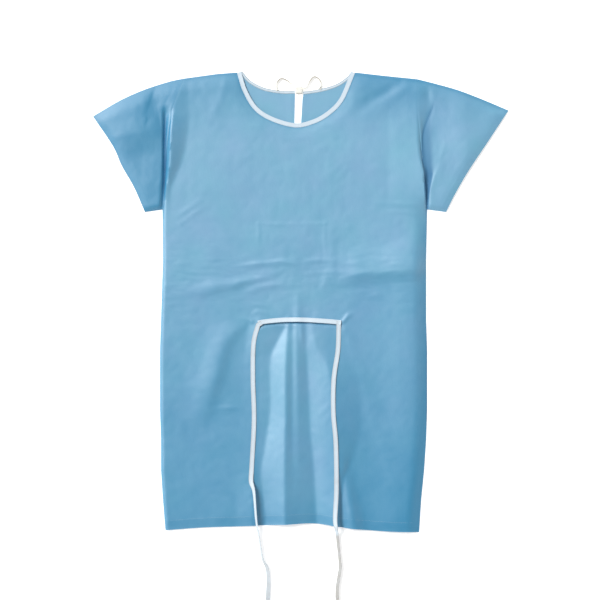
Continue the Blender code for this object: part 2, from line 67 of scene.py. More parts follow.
UNDERARM_Y = 0.242
SIDES = (
    Side(-0.606, -0.3555, 0.3110),
    Side(-0.522, -0.3623, 0.3163),
    Side(-0.443, -0.3675, 0.3242),
    Side(-0.364, -0.3675, 0.3294),
    Side(-0.285, -0.3702, 0.3320),
    Side(-0.128, -0.3702, 0.3320),
    Side(-0.049, -0.3675, 0.3294),
    Side(0.110, -0.3623, 0.3294),
    Side(UNDERARM_Y, -0.3636, 0.3320),
    Side(0.306, -0.3580, 0.3282),
    Side(0.398, -0.3518, 0.3163),
    Side(0.504, -0.3386, 0.3060),
    Side(0.586, -0.3071, 0.3057),
)
HEM = (
    Point(-0.3555, -0.6010),
    Point(-0.2520, -0.5935),
    Point(-0.1570, -0.5905),
    Point(-0.0460, -0.5855),
    Point(0.0190, -0.5825),
    Point(0.0640, -0.5855),
    Point(0.1270, -0.5955),
    Point(0.2220, -0.6035),
    Point(0.3110, -0.6060),
)
BACK_HEM_RISE = 0.003
LEFT_TOP = (
    Point(-0.5460, 0.4866),
    Point(-0.4730, 0.5290),
    Point(-0.4100, 0.5570),
    Point(-0.3465, 0.5775),
    Point(-0.3071, 0.5860),
    Point(-0.2200, 0.5980),
    Point(-0.1680, 0.6020),
)
RIGHT_TOP = (
    Point(0.1430, 0.6020),
    Point(0.2216, 0.5930),
    Point(0.3057, 0.5845),
    Point(0.3478, 0.5740),
    Point(0.4109, 0.5562),
    Point(0.4741, 0.5326),
    Point(0.5460, 0.5023),
)
LEFT_ARMHOLE = 4
RIGHT_ARMHOLE = 2
LEFT_CUFF = (
    Point(-0.5460, 0.4866),
    Point(-0.4938, 0.4090),
    Point(-0.4700, 0.3564),
    Point(-0.4385, 0.3011),
    Point(-0.4096, 0.2354),
)
RIGHT_CUFF = (
    Point(0.5460, 0.5023),
    Point(0.4951, 0.4247),
    Point(0.4425, 0.3458),
    Point(0.4057, 0.2827),
    Point(0.3820, 0.2354),
)
FRONT_NECK = (
    Point(-0.1624, 0.6030),
    Point(-0.1471, 0.5547),
    Point(-0.1187, 0.5079),
    Point(-0.0759, 0.4797),
    Point(-0.0150, 0.4630),
    Point(0.0335, 0.4729),
    Point(0.0738, 0.4958),
    Point(0.1074, 0.5320),
    Point(0.1375, 0.6030),
)
BACK_NECK_LEFT = (
    Point(-0.1577, 0.6034),
    Point(-0.1337, 0.5775),
    Point(-0.0974, 0.5589),
    Point(-0.0530, 0.5507),
    Point(-0.0155, 0.5503),
)
BACK_NECK_RIGHT = (
    Point(0.0063, 0.5480),
    Point(0.0496, 0.5547),
    Point(0.0940, 0.5680),
    Point(0.1248, 0.5883),
    Point(0.1356, 0.6034),
)
BACK_OPENING = (
    Side(-0.606, -0.0100, -0.0060),
    Side(0.350, -0.0120, -0.0050),
    Side(0.470, -0.0170, -0.0014),
    Side(0.535, -0.0152, -0.0008),
    Side(0.550, -0.0152, 0.0020),
)

# Waist tape and its free ends: the middle line, and the turn of the tape about it in degrees

WAIST_TAPE = (
    Turn(-0.1120, -0.0565, 0),
    Turn(-0.1000, -0.0535, 4),
    Turn(-0.0546, -0.0487, 13),
    Turn(0.0000, -0.0478, 14),
    Turn(0.0638, -0.0513, 12),
    Turn(0.1056, -0.0550, 2),
)
LEFT_TIE = (
    Turn(-0.1030, -0.0560, 0),
    Turn(-0.1098, -0.0602, 0),
    Turn(-0.1137, -0.0672, 0),
    Turn(-0.1243, -0.1144, 0),
    Turn(-0.1256, -0.2065, 0),
    Turn(-0.1227, -0.3117, 0),
    Turn(-0.1287, -0.4326, 0),
    Turn(-0.1303, -0.4720, -12),
    Turn(-0.1225, -0.5000, -50),
    Turn(-0.1161, -0.5773, -62),
    Turn(-0.1090, -0.6194, -68),
    Turn(-0.1001, -0.6746, -60),
    Turn(-0.0880, -0.7009, -40),
    Turn(-0.0848, -0.7350, -25),
    Turn(-0.0864, -0.7850, -10),
    Turn(-0.0880, -0.8300, 0),
)
RIGHT_TIE = (
    Turn(0.1002, -0.0510, 0),
    Turn(0.0996, -0.0622, 0),
    Turn(0.0974, -0.1276, 0),
    Turn(0.0864, -0.2038, 0),
    Turn(0.0853, -0.2906, 0),
    Turn(0.0917, -0.3721, 0),
    Turn(0.0932, -0.4930, 0),
    Turn(0.0900, -0.5710, -20),
    Turn(0.0950, -0.6050, -48),
    Turn(0.1022, -0.6746, -55),
    Turn(0.1037, -0.7009, -50),
    Turn(0.0965, -0.7500, -45),
    Turn(0.0961, -0.7850, -40),
    Turn(0.0985, -0.8240, -30),
)
TIE_STATIONS = 150

# Bow at the nape

LEFT_LOOP = (
    Turn(-0.0616, 0.5545, 10),
    Turn(-0.0628, 0.5600, 45),
    Turn(-0.0624, 0.5680, 80),
    Turn(-0.0611, 0.5747, 84),
    Turn(-0.0559, 0.5822, 85),
    Turn(-0.0493, 0.5848, 85),
    Turn(-0.0388, 0.5812, 84),
    Turn(-0.0283, 0.5733, 82),
    Turn(-0.0178, 0.5641, 78),
    Turn(-0.0095, 0.5580, 70),
)
RIGHT_LOOP = (
    Turn(0.0010, 0.5560, 70),
    Turn(0.0080, 0.5580, 74),
    Turn(0.0164, 0.5630, 80),
    Turn(0.0243, 0.5773, 84),
    Turn(0.0309, 0.5865, 85),
    Turn(0.0375, 0.5896, 85),
    Turn(0.0454, 0.5852, 85),
    Turn(0.0506, 0.5773, 84),
    Turn(0.0519, 0.5690, 80),
    Turn(0.0506, 0.5630, 45),
    Turn(0.0488, 0.5575, 10),
)

# Skirt between and beside the ties: lines along its crests and valleys, from left to right, each from the hem up

SKIRT_LINES = (
    (
        Line(-0.170, -0.620, 0.0000),
        Line(-0.165, -0.400, 0.0000),
        Line(-0.150, -0.162, 0.0000),
        Line(-0.135, -0.054, 0.0000),
    ),
    (
        Line(-0.126, -0.620, 0.0045),
        Line(-0.126, -0.520, 0.0045),
        Line(-0.127, -0.470, 0.0020),
        Line(-0.128, -0.338, 0.0008),
        Line(-0.126, -0.162, 0.0014),
        Line(-0.122, -0.114, 0.0035),
        Line(-0.115, -0.072, 0.0035),
        Line(-0.112, -0.054, 0.0030),
    ),
    (
        Line(-0.094, -0.620, -0.0035),
        Line(-0.094, -0.562, -0.0035),
        Line(-0.099, -0.509, -0.0035),
        Line(-0.105, -0.449, -0.0015),
        Line(-0.097, -0.393, -0.0010),
        Line(-0.085, -0.327, -0.0010),
        Line(-0.079, -0.262, -0.0012),
        Line(-0.081, -0.162, -0.0020),
        Line(-0.071, -0.122, -0.0030),
        Line(-0.044, -0.072, -0.0020),
        Line(-0.039, -0.054, 0.0000),
    ),
    (
        Line(-0.042, -0.620, 0.0160),
        Line(-0.042, -0.562, 0.0160),
        Line(-0.042, -0.449, 0.0160),
        Line(-0.041, -0.372, 0.0152),
        Line(-0.039, -0.299, 0.0138),
        Line(-0.040, -0.222, 0.0118),
        Line(-0.038, -0.149, 0.0088),
        Line(-0.034, -0.072, 0.0020),
        Line(-0.031, -0.054, 0.0010),
    ),
    (
        Line(-0.020, -0.620, 0.0118),
        Line(-0.021, -0.486, 0.0110),
        Line(-0.022, -0.412, 0.0096),
        Line(-0.023, -0.259, 0.0068),
        Line(-0.023, -0.114, 0.0028),
        Line(-0.022, -0.072, -0.0005),
        Line(-0.022, -0.054, -0.0005),
    ),
    (
        Line(-0.006, -0.620, 0.0082),
        Line(-0.004, -0.486, 0.0082),
        Line(-0.005, -0.412, 0.0086),
        Line(-0.008, -0.259, 0.0080),
        Line(-0.009, -0.162, 0.0066),
        Line(-0.010, -0.072, 0.0030),
        Line(-0.010, -0.054, 0.0020),
    ),
    (
        Line(0.043, -0.620, 0.0005),
        Line(0.041, -0.562, 0.0005),
        Line(0.037, -0.486, 0.0008),
        Line(0.032, -0.412, 0.0010),
        Line(0.024, -0.335, 0.0010),
        Line(0.019, -0.222, 0.0004),
        Line(0.015, -0.149, -0.0005),
        Line(0.015, -0.072, 0.0005),
        Line(0.012, -0.054, 0.0008),
    ),
    (
        Line(0.093, -0.620, 0.0160),
        Line(0.093, -0.470, 0.0160),
        Line(0.090, -0.412, 0.0152),
        Line(0.086, -0.338, 0.0140),
        Line(0.082, -0.259, 0.0120),
        Line(0.077, -0.193, 0.0098),
        Line(0.064, -0.157, 0.0065),
        Line(0.048, -0.133, 0.0050),
        Line(0.035, -0.101, 0.0045),
        Line(0.032, -0.072, 0.0035),
        Line(0.032, -0.054, 0.0025),
    ),
    (
        Line(0.104, -0.620, 0.0010),
        Line(0.104, -0.562, 0.0010),
        Line(0.106, -0.509, 0.0025),
        Line(0.114, -0.460, 0.0032),
        Line(0.140, -0.395, 0.0020),
        Line(0.160, -0.300, 0.0005),
        Line(0.150, -0.162, 0.0005),
        Line(0.128, -0.114, 0.0005),
        Line(0.113, -0.054, 0.0010),
    ),
    (
        Line(0.260, -0.620, 0.0000),
        Line(0.250, -0.400, 0.0000),
        Line(0.210, -0.162, 0.0000),
        Line(0.150, -0.054, 0.0000),
    ),
)

# Armholes, in the same way: the left one's groove, crest and long slope, and the right one's crest and pocket

LEFT_ARMHOLE_LINES = (
    (
        Line(-0.4150, 0.230, 0.0000),
        Line(-0.4150, 0.400, 0.0000),
        Line(-0.3900, 0.500, 0.0000),
        Line(-0.3740, 0.520, 0.0000),
        Line(-0.3700, 0.590, 0.0000),
    ),
    (
        Line(-0.3660, 0.230, 0.0010),
        Line(-0.3640, 0.290, 0.0015),
        Line(-0.3640, 0.460, 0.0015),
        Line(-0.3640, 0.497, 0.0010),
        Line(-0.3640, 0.512, 0.0010),
        Line(-0.3600, 0.590, 0.0000),
    ),
    (
        Line(-0.3630, 0.230, -0.0055),
        Line(-0.3600, 0.290, -0.0068),
        Line(-0.3585, 0.330, -0.0070),
        Line(-0.3580, 0.370, -0.0070),
        Line(-0.3580, 0.460, -0.0056),
        Line(-0.3580, 0.497, -0.0026),
        Line(-0.3570, 0.512, 0.0012),
        Line(-0.3400, 0.555, 0.0012),
        Line(-0.3300, 0.590, 0.0000),
    ),
    (
        Line(-0.3620, 0.230, -0.0055),
        Line(-0.3585, 0.290, -0.0068),
        Line(-0.3560, 0.330, -0.0070),
        Line(-0.3550, 0.370, -0.0070),
        Line(-0.3545, 0.460, -0.0056),
        Line(-0.3540, 0.497, -0.0026),
        Line(-0.3520, 0.512, 0.0020),
        Line(-0.3300, 0.555, 0.0018),
        Line(-0.3200, 0.590, 0.0000),
    ),
    (
        Line(-0.3590, 0.230, 0.0000),
        Line(-0.3540, 0.290, 0.0030),
        Line(-0.3480, 0.330, 0.0076),
        Line(-0.3430, 0.370, 0.0120),
        Line(-0.3405, 0.440, 0.0128),
        Line(-0.3370, 0.480, 0.0080),
        Line(-0.3320, 0.505, 0.0046),
        Line(-0.3190, 0.548, 0.0024),
        Line(-0.3070, 0.590, 0.0000),
    ),
    (
        Line(-0.3400, 0.230, 0.0000),
        Line(-0.3420, 0.290, 0.0000),
        Line(-0.3290, 0.330, 0.0000),
        Line(-0.3130, 0.370, 0.0000),
        Line(-0.2980, 0.440, 0.0000),
        Line(-0.2940, 0.500, 0.0000),
        Line(-0.2960, 0.548, 0.0000),
        Line(-0.2980, 0.590, 0.0000),
    ),
)
RIGHT_ARMHOLE_LINES = (
    (
        Line(0.2300, 0.230, 0.0000),
        Line(0.2300, 0.590, 0.0000),
    ),
    (
        Line(0.3290, 0.230, 0.0010),
        Line(0.3280, 0.260, 0.0050),
        Line(0.3258, 0.293, 0.0075),
        Line(0.3238, 0.325, 0.0085),
        Line(0.3222, 0.344, 0.0080),
        Line(0.3120, 0.385, 0.0055),
        Line(0.3070, 0.440, 0.0040),
        Line(0.3050, 0.500, 0.0032),
        Line(0.3045, 0.550, 0.0020),
        Line(0.3050, 0.590, 0.0000),
    ),
    (
        Line(0.3312, 0.230, -0.0060),
        Line(0.3302, 0.260, -0.0070),
        Line(0.3282, 0.293, -0.0072),
        Line(0.3264, 0.325, -0.0072),
        Line(0.3254, 0.344, -0.0072),
        Line(0.3235, 0.352, -0.0046),
        Line(0.3195, 0.398, -0.0044),
        Line(0.3208, 0.440, -0.0044),
        Line(0.3300, 0.472, -0.0038),
        Line(0.3440, 0.506, -0.0020),
        Line(0.3500, 0.530, 0.0000),
        Line(0.3520, 0.590, 0.0000),
    ),
    (
        Line(0.3330, 0.230, -0.0060),
        Line(0.3325, 0.260, -0.0044),
        Line(0.3362, 0.293, -0.0030),
        Line(0.3422, 0.325, -0.0024),
        Line(0.3442, 0.340, -0.0022),
        Line(0.3455, 0.352, -0.0020),
        Line(0.3445, 0.398, -0.0022),
        Line(0.3430, 0.440, -0.0020),
        Line(0.3440, 0.472, -0.0016),
        Line(0.3520, 0.506, -0.0006),
        Line(0.3580, 0.530, 0.0000),
        Line(0.3600, 0.590, 0.0000),
    ),
    (
        Line(0.3345, 0.230, -0.0010),
        Line(0.3346, 0.260, -0.0005),
        Line(0.3400, 0.293, 0.0000),
        Line(0.3490, 0.325, 0.0000),
        Line(0.3560, 0.340, 0.0000),
        Line(0.3640, 0.360, 0.0000),
        Line(0.3760, 0.405, 0.0000),
        Line(0.3780, 0.440, 0.0000),
        Line(0.3780, 0.472, 0.0000),
        Line(0.3760, 0.506, 0.0000),
        Line(0.3740, 0.530, 0.0000),
        Line(0.3740, 0.590, 0.0000),
    ),
)

# Painted shade on the waist ties: on their face past the hem, starting at that height, and along their edges
TIE_SHADE = {"left": 0.68, "right": 0.97}
TIE_SHADE_STARTS = -0.604
TIE_EDGE_SHADE = 0.72
# Painted shade inside the right armhole's pocket and crease, by height
POCKET_PAINTED_SHADE = (
    Point(0.232, 1.00),
    Point(0.336, 0.95),
    Point(0.350, 0.78),
    Point(0.400, 0.70),
    Point(0.450, 0.60),
    Point(0.480, 0.38),
    Point(0.512, 0.18),
    Point(0.540, 0.00),
)

# Folds, each from one end to the other. A positive lean makes the right-hand side of the way along it the steeper

FOLDS = (
    # Skirt
    Fold(0.0, (
        Station(0.004, -0.115, 0.005, 0.0000),
        Station(0.003, -0.090, 0.005, 0.0016),
        Station(0.001, -0.062, 0.005, 0.0012),
    )),
    Fold(-0.10, (
        Station(0.143, -0.620, 0.023, 0.0110),
        Station(0.132, -0.560, 0.020, 0.0100),
        Station(0.117, -0.460, 0.015, 0.0045),
        Station(0.106, -0.380, 0.012, 0.0000),
    )),
    Fold(0.30, (
        Station(-0.265, -0.330, 0.024, 0.000),
        Station(-0.232, -0.220, 0.032, 0.006),
        Station(-0.200, -0.110, 0.028, 0.005),
        Station(-0.150, -0.060, 0.014, 0.001),
    )),
    Fold(0.0, (
        Station(-0.225, -0.281, 0.006, 0.0003),
        Station(-0.190, -0.279, 0.006, 0.0014),
        Station(-0.158, -0.281, 0.006, 0.0003),
    )),
    Fold(-0.20, (
        Station(0.250, -0.480, 0.022, 0.0005),
        Station(0.200, -0.330, 0.022, 0.0010),
        Station(0.150, -0.160, 0.016, 0.0012),
        Station(0.116, -0.075, 0.010, 0.001),
    )),
    # Below and above the waist tape
    Fold(0.0, (
        Station(-0.109, -0.0660, 0.0035, -0.0030),
        Station(-0.094, -0.0595, 0.0035, -0.0040),
        Station(-0.045, -0.0560, 0.0035, -0.0040),
        Station(0.000, -0.0552, 0.0035, -0.0040),
        Station(0.064, -0.0585, 0.0035, -0.0040),
        Station(0.102, -0.0620, 0.0035, -0.0030),
    )),
    Fold(0.0, (
        Station(-0.128, -0.036, 0.005, 0.0003),
        Station(-0.115, -0.026, 0.006, 0.0013),
        Station(-0.098, -0.030, 0.006, 0.0012),
        Station(-0.080, -0.034, 0.005, 0.0000),
    )),
    Fold(0.0, (
        Station(-0.136, -0.012, 0.006, 0.0000),
        Station(-0.112, -0.008, 0.006, 0.0008),
        Station(-0.085, -0.016, 0.005, 0.0002),
    )),
    Fold(0.0, (
        Station(-0.128, -0.052, 0.005, 0.0020),
        Station(-0.160, -0.035, 0.009, 0.0000),
    )),
    Fold(0.0, (
        Station(0.112, -0.052, 0.004, 0.0024),
        Station(0.122, -0.040, 0.005, 0.0020),
        Station(0.133, -0.026, 0.006, 0.0000),
    )),
    # Waist wrinkles
    Fold(-0.20, (
        Station(-0.170, 0.092, 0.007, 0.0000),
        Station(-0.120, 0.099, 0.007, 0.0022),
        Station(-0.085, 0.102, 0.006, 0.0014),
        Station(-0.047, 0.105, 0.007, 0.0026),
        Station(-0.006, 0.096, 0.007, 0.0004),
    )),
    Fold(0.0, (
        Station(0.000, 0.104, 0.006, 0.0002),
        Station(0.040, 0.108, 0.006, 0.0014),
        Station(0.080, 0.106, 0.007, 0.0004),
        Station(0.120, 0.100, 0.007, 0.0006),
        Station(0.180, 0.096, 0.008, 0.0001),
    )),
    Fold(0.10, (
        Station(-0.300, 0.030, 0.014, 0.0005),
        Station(-0.262, 0.030, 0.017, 0.0024),
        Station(-0.225, 0.037, 0.018, 0.0036),
        Station(-0.202, 0.041, 0.015, 0.0026),
        Station(-0.170, 0.046, 0.012, 0.0032),
        Station(-0.140, 0.056, 0.010, 0.0020),
        Station(-0.110, 0.060, 0.010, 0.0022),
        Station(-0.073, 0.067, 0.009, 0.0005),
    )),
    Fold(0.0, (
        Station(-0.150, 0.022, 0.010, 0.0000),
        Station(-0.110, 0.036, 0.010, 0.0014),
        Station(-0.060, 0.044, 0.009, 0.0012),
        Station(-0.010, 0.040, 0.009, 0.0002),
    )),
    Fold(0.45, (
        Station(0.080, 0.052, 0.034, 0.0000),
        Station(0.108, 0.062, 0.044, 0.0030),
        Station(0.150, 0.071, 0.050, 0.0060),
        Station(0.187, 0.075, 0.052, 0.0064),
        Station(0.235, 0.080, 0.052, 0.0062),
        Station(0.335, 0.088, 0.052, 0.0058),
    ), True),
    Fold(0.0, (
        Station(-0.004, 0.036, 0.010, 0.0000),
        Station(-0.006, 0.004, 0.012, 0.0014),
        Station(-0.007, -0.036, 0.012, 0.0018),
    )),
    Fold(0.20, (
        Station(0.078, 0.020, 0.012, 0.0000),
        Station(0.084, 0.090, 0.014, 0.0012),
        Station(0.080, 0.205, 0.012, 0.0002),
    )),
    Fold(0.20, (
        Station(0.070, 0.092, 0.012, 0.0000),
        Station(0.066, 0.060, 0.012, 0.0012),
        Station(0.052, 0.020, 0.010, 0.0000),
    )),
    Fold(0.0, (
        Station(-0.325, 0.222, 0.005, 0.0004),
        Station(-0.290, 0.248, 0.005, 0.0008),
        Station(-0.262, 0.268, 0.005, 0.0002),
    )),
    Fold(0.0, (
        Station(-0.315, 0.204, 0.005, 0.0004),
        Station(-0.280, 0.230, 0.005, 0.0008),
        Station(-0.250, 0.250, 0.005, 0.0002),
    )),
    Fold(0.0, (
        Station(0.190, 0.262, 0.005, 0.0002),
        Station(0.250, 0.256, 0.005, 0.0008),
        Station(0.318, 0.254, 0.005, 0.0006),
    )),
    Fold(0.0, (
        Station(0.215, 0.236, 0.005, 0.0002),
        Station(0.270, 0.234, 0.005, 0.0007),
        Station(0.322, 0.228, 0.005, 0.0005),
    )),
    # Lines left by the way the gown was packed
    Fold(0.0, (
        Station(-0.112, 0.204, 0.004, 0.0003),
        Station(-0.060, 0.203, 0.004, 0.0009),
        Station(0.020, 0.204, 0.004, 0.0004),
        Station(0.064, 0.205, 0.004, 0.0010),
    )),
    Fold(0.0, (
        Station(-0.112, 0.150, 0.005, 0.0002),
        Station(-0.110, 0.180, 0.005, 0.0006),
        Station(-0.112, 0.204, 0.005, 0.0004),
    )),
    Fold(0.0, (
        Station(0.066, 0.115, 0.004, 0.0002),
        Station(0.062, 0.160, 0.004, 0.0005),
        Station(0.064, 0.205, 0.004, 0.0004),
    )),
    # Shoulders
    Fold(0.0, (
        Station(0.150, 0.500, 0.014, -0.0005),
        Station(0.190, 0.530, 0.013, -0.0016),
        Station(0.262, 0.574, 0.010, -0.0010),
    )),
    Fold(0.0, (
        Station(0.196, 0.492, 0.014, 0.0002),
        Station(0.240, 0.535, 0.013, 0.0008),
        Station(0.278, 0.566, 0.010, 0.0005),
    )),
    Fold(0.0, (
        Station(-0.240, 0.470, 0.016, 0.0003),
        Station(-0.215, 0.520, 0.014, 0.0014),
        Station(-0.200, 0.575, 0.010, 0.0006),
    )),
    # Left sleeve: the crest across it, and the hollow below
    Fold(0.35, (
        Station(-0.510, 0.424, 0.080, 0.0030),
        Station(-0.460, 0.438, 0.084, 0.0065),
        Station(-0.420, 0.446, 0.084, 0.0072),
        Station(-0.390, 0.452, 0.080, 0.0050),
        Station(-0.366, 0.457, 0.070, 0.0000),
    ), True),
    Fold(0.0, (
        Station(-0.430, 0.330, 0.030, 0.0010),
        Station(-0.400, 0.315, 0.030, 0.0020),
        Station(-0.376, 0.310, 0.020, 0.0015),
    )),
    Fold(0.50, (
        Station(-0.3880, 0.5500, 0.008, -0.0006),
        Station(-0.3910, 0.5350, 0.009, -0.0012),
        Station(-0.3950, 0.5180, 0.013, -0.0015),
        Station(-0.4020, 0.4900, 0.018, -0.0012),
    )),
    # Right sleeve
    Fold(0.0, (
        Station(0.354, 0.358, 0.010, 0.0001),
        Station(0.354, 0.385, 0.010, 0.0004),
        Station(0.352, 0.420, 0.010, 0.0001),
    )),
    Fold(0.0, (
        Station(0.360, 0.325, 0.010, 0.0002),
        Station(0.366, 0.360, 0.011, 0.0005),
        Station(0.372, 0.400, 0.012, 0.0002),
    )),
    Fold(0.10, (
        Station(0.440, 0.330, 0.030, 0.0010),
        Station(0.432, 0.420, 0.036, 0.0030),
        Station(0.420, 0.530, 0.028, 0.0010),
    )),
    Fold(0.0, (
        Station(0.325, 0.565, 0.010, 0.0000),
        Station(0.334, 0.540, 0.011, -0.0025),
        Station(0.338, 0.510, 0.010, 0.0000),
    )),
    Fold(0.0, (
        Station(0.440, 0.540, 0.010, -0.0005),
        Station(0.480, 0.520, 0.010, -0.0025),
        Station(0.525, 0.502, 0.008, -0.0025),
    )),
)

# Resolution: rows and columns of the fine meshes

SKIRT_ROWS = 112
WAIST_ROWS = 50
RIB_ROWS = 26
CHEST_ROWS = 34
NECK_ROWS = 28
SIDE_COLUMNS = 36
NECK_COLUMNS = 68
BACK_SIDE_COLUMNS = 22
BACK_NECK_COLUMNS = 26
SLEEVE_SECTIONS = 66
WAIST_Y = -0.062
MIDRIFF_Y = 0.120
CHEST_Y = 0.425
NECK_ZONE_LEFT = -0.150
NECK_ZONE_RIGHT = 0.127
SIDE_GRADING = 1.25
SEAM_GAP = 0.0001
PLEAT_FADE = 0.030
SLEEVE_GRADING = 1.6


class GownSizes(bpy.types.PropertyGroup):
    """Real sizes of the cloth, the tapes and the sewing."""

    cloth: FloatProperty(
        name="Cloth thickness", description="Thickness of the non-woven cloth", default=0.0005, unit="LENGTH"
    )
    loft: FloatProperty(
        name="Loft", description="Rise of the front between its folds", default=0.0065, unit="LENGTH"
    )
    left_rounding: FloatProperty(
        name="Left rounding", description="How far in from the left side the cloth rises", default=0.008,
        unit="LENGTH",
    )
    right_rounding: FloatProperty(
        name="Right rounding", description="How far in from the right side the cloth rises", default=0.036,
        unit="LENGTH",
    )
    right_crown: FloatProperty(
        name="Right crown", description="Extra rise of the cloth beside its right side", default=0.006,
        unit="LENGTH",
    )
    shoulder_rounding: FloatProperty(
        name="Shoulder rounding", description="How far in from the shoulders and neck the cloth rises",
        default=0.038, unit="LENGTH",
    )
    hem: FloatProperty(
        name="Hem depth", description="Depth of the turned hem", default=0.028, unit="LENGTH"
    )
    sleeve_hem: FloatProperty(
        name="Sleeve hem depth", description="Depth of the turned cuff hem", default=0.018, unit="LENGTH"
    )
    back_hem: FloatProperty(
        name="Back edge depth", description="Depth of the turned edge at the opening", default=0.015, unit="LENGTH"
    )
    tape: FloatProperty(
        name="Tape width", description="Width of the waist tape and ties", default=0.012, unit="LENGTH"
    )
    binding: FloatProperty(
        name="Binding width", description="Width of the front neck binding", default=0.0115, unit="LENGTH"
    )
    back_binding: FloatProperty(
        name="Back binding width", description="Width of the back neck binding", default=0.0075, unit="LENGTH"
    )
    tape_thickness: FloatProperty(
        name="Tape thickness", description="Thickness of the flat tape", default=0.0008, unit="LENGTH"
    )
    stitch: FloatProperty(
        name="Stitch length", description="Length of one stitch", default=0.0027, unit="LENGTH"
    )
    stitch_pitch: FloatProperty(
        name="Stitch pitch", description="Distance from stitch to stitch", default=0.0038, unit="LENGTH"
    )
    thread: FloatProperty(
        name="Thread thickness", description="Thickness of the sewing thread", default=0.0004, unit="LENGTH"
    )


class GownColours(bpy.types.PropertyGroup):
    """Colours of the cloth, the tape and the thread."""

    # Painted light: the cloth's pale colour, reached where the painted light is strongest
    lit: FloatVectorProperty(
        name="Cloth, pale", description="Cloth where it is raised", subtype="COLOR",
        default=(0.178, 0.422, 0.605), min=0, max=1,
    )
    # Painted shade: the colour the cloth takes where its painted shade is strongest
    painted_shade: FloatVectorProperty(
        name="Cloth, deep", description="Cloth in its hollows", subtype="COLOR",
        default=(0.0, 0.220, 0.419), min=0, max=1,
    )
    # Painted shade: colour of the shade painted inside the armholes' grooves and pocket
    armhole_shade: FloatVectorProperty(
        name="Cloth, hollow", description="Cloth inside the armholes' grooves", subtype="COLOR",
        default=(0.0, 0.140, 0.320), min=0, max=1,
    )
    tape: FloatVectorProperty(
        name="Tape", description="White tape", subtype="COLOR", default=(0.62, 0.72, 0.80), min=0, max=1
    )
    shaded_tie: FloatVectorProperty(
        name="Ties, shaded", description="The waist ties' shaded face past the hem", subtype="COLOR",
        default=(0.36, 0.35, 0.33), min=0, max=1,
    )
    loop: FloatVectorProperty(
        name="Loop tape", description="Shaded edge of the bow's loops", subtype="COLOR",
        default=(0.44, 0.41, 0.35), min=0, max=1,
    )
    knot: FloatVectorProperty(
        name="Knot tape", description="Warm white of the bow's knot", subtype="COLOR",
        default=(0.90, 0.89, 0.82), min=0, max=1,
    )
    edge: FloatVectorProperty(
        name="Back binding's edges", description="Shaded edges of the back neck binding", subtype="COLOR",
        default=(0.22, 0.30, 0.34), min=0, max=1,
    )
    thread: FloatVectorProperty(
        name="Thread", description="Sewing thread", subtype="COLOR", default=(0.42, 0.60, 0.72), min=0, max=1
    )
    floor: FloatVectorProperty(
        name="Floor", description="Surface the gown lies on", subtype="COLOR",
        default=(0.93, 0.93, 0.93), min=0, max=1,
    )


class GownStage(bpy.types.PropertyGroup):
    """Camera and lights."""

    picture: FloatProperty(
        name="Picture width", description="Width of the surface in the picture", default=1.578, unit="LENGTH"
    )
    camera_height: FloatProperty(
        name="Camera height", description="Height of the camera", default=5.0, unit="LENGTH"
    )
    key: FloatProperty(name="Key light", description="Strength of the key light", default=3.0)
    softness: FloatProperty(
        name="Key softness", description="How wide the key light looks", default=0.40, subtype="ANGLE"
    )
    zenith: FloatProperty(name="Zenith", description="Strength of the even light from above", default=0.12)
    horizon: FloatProperty(name="Horizon", description="Strength of the even light from the sides", default=1.15)
    glow: FloatProperty(name="Surface glow", description="Light that comes through the surface", default=0.50)
    seed: IntProperty(name="Unevenness", description="Which small unevenness the cloth has", default=7)


def sizes():
    return bpy.context.scene.gown_sizes


def colours():
    return bpy.context.scene.gown_colours


def curve_through(points, count):
    """Count + 1 places, evenly spaced along a smooth curve through the points, with the points' other columns."""
    known = np.array(points, float)
    padded = np.vstack([2 * known[0] - known[1], known, 2 * known[-1] - known[-2]])
    dense = []
    for before, start, end, after in zip(padded, padded[1:], padded[2:], padded[3:]):
        for t in np.linspace(0, 1, 24, endpoint=False):
            cubic = 3 * start - before - 3 * end + after
            square = 2 * before - 5 * start + 4 * end - after
            dense.append(0.5 * (2 * start + (end - before) * t + square * t**2 + cubic * t**3))
    dense.append(known[-1])
    dense = np.array(dense)
    steps = np.linalg.norm(np.diff(dense[:, :2], axis=0), axis=1)
    run = np.concatenate([[0], np.cumsum(steps)])
    wanted = np.linspace(0, run[-1], count + 1)
    return np.stack([np.interp(wanted, run, column) for column in dense.T], axis=1)


def directions(line):
    along = np.gradient(line[:, :2], axis=0)
    return along / np.linalg.norm(along, axis=1)[:, None]


def moved_sideways(line, distance):
    """The line in plan, moved to its left by the distance."""
    along = directions(line)
    return line[:, :2] + distance * np.stack([-along[:, 1], along[:, 0]], axis=1)


def nearest_on(line, x, y):
    """For each point: its distance to the line, negative on the line's right, and the line's other columns there."""
    best = np.full(x.shape, np.inf)
    side = np.ones(x.shape)
    found = np.zeros(x.shape + (line.shape[1] - 2,))
    for start, end in zip(line, line[1:]):
        run = end[:2] - start[:2]
        off_x = x - start[0]
        off_y = y - start[1]
        share = np.clip((off_x * run[0] + off_y * run[1]) / (run @ run), 0, 1)
        distance = np.hypot(off_x - share * run[0], off_y - share * run[1])
        nearer = distance < best
        best = np.where(nearer, distance, best)
        side = np.where(nearer, np.sign(run[0] * off_y - run[1] * off_x), side)
        values = start[2:] + share[..., None] * (end[2:] - start[2:])
        found = np.where(nearer[..., None], values, found)
    return best * side, found


def tent(share):
    """A ridge with a narrow crest and flat slopes that end at a share of 1."""
    return 0.09 * np.log1p(np.exp((1.08 - np.hypot(share, 0.08)) / 0.09))


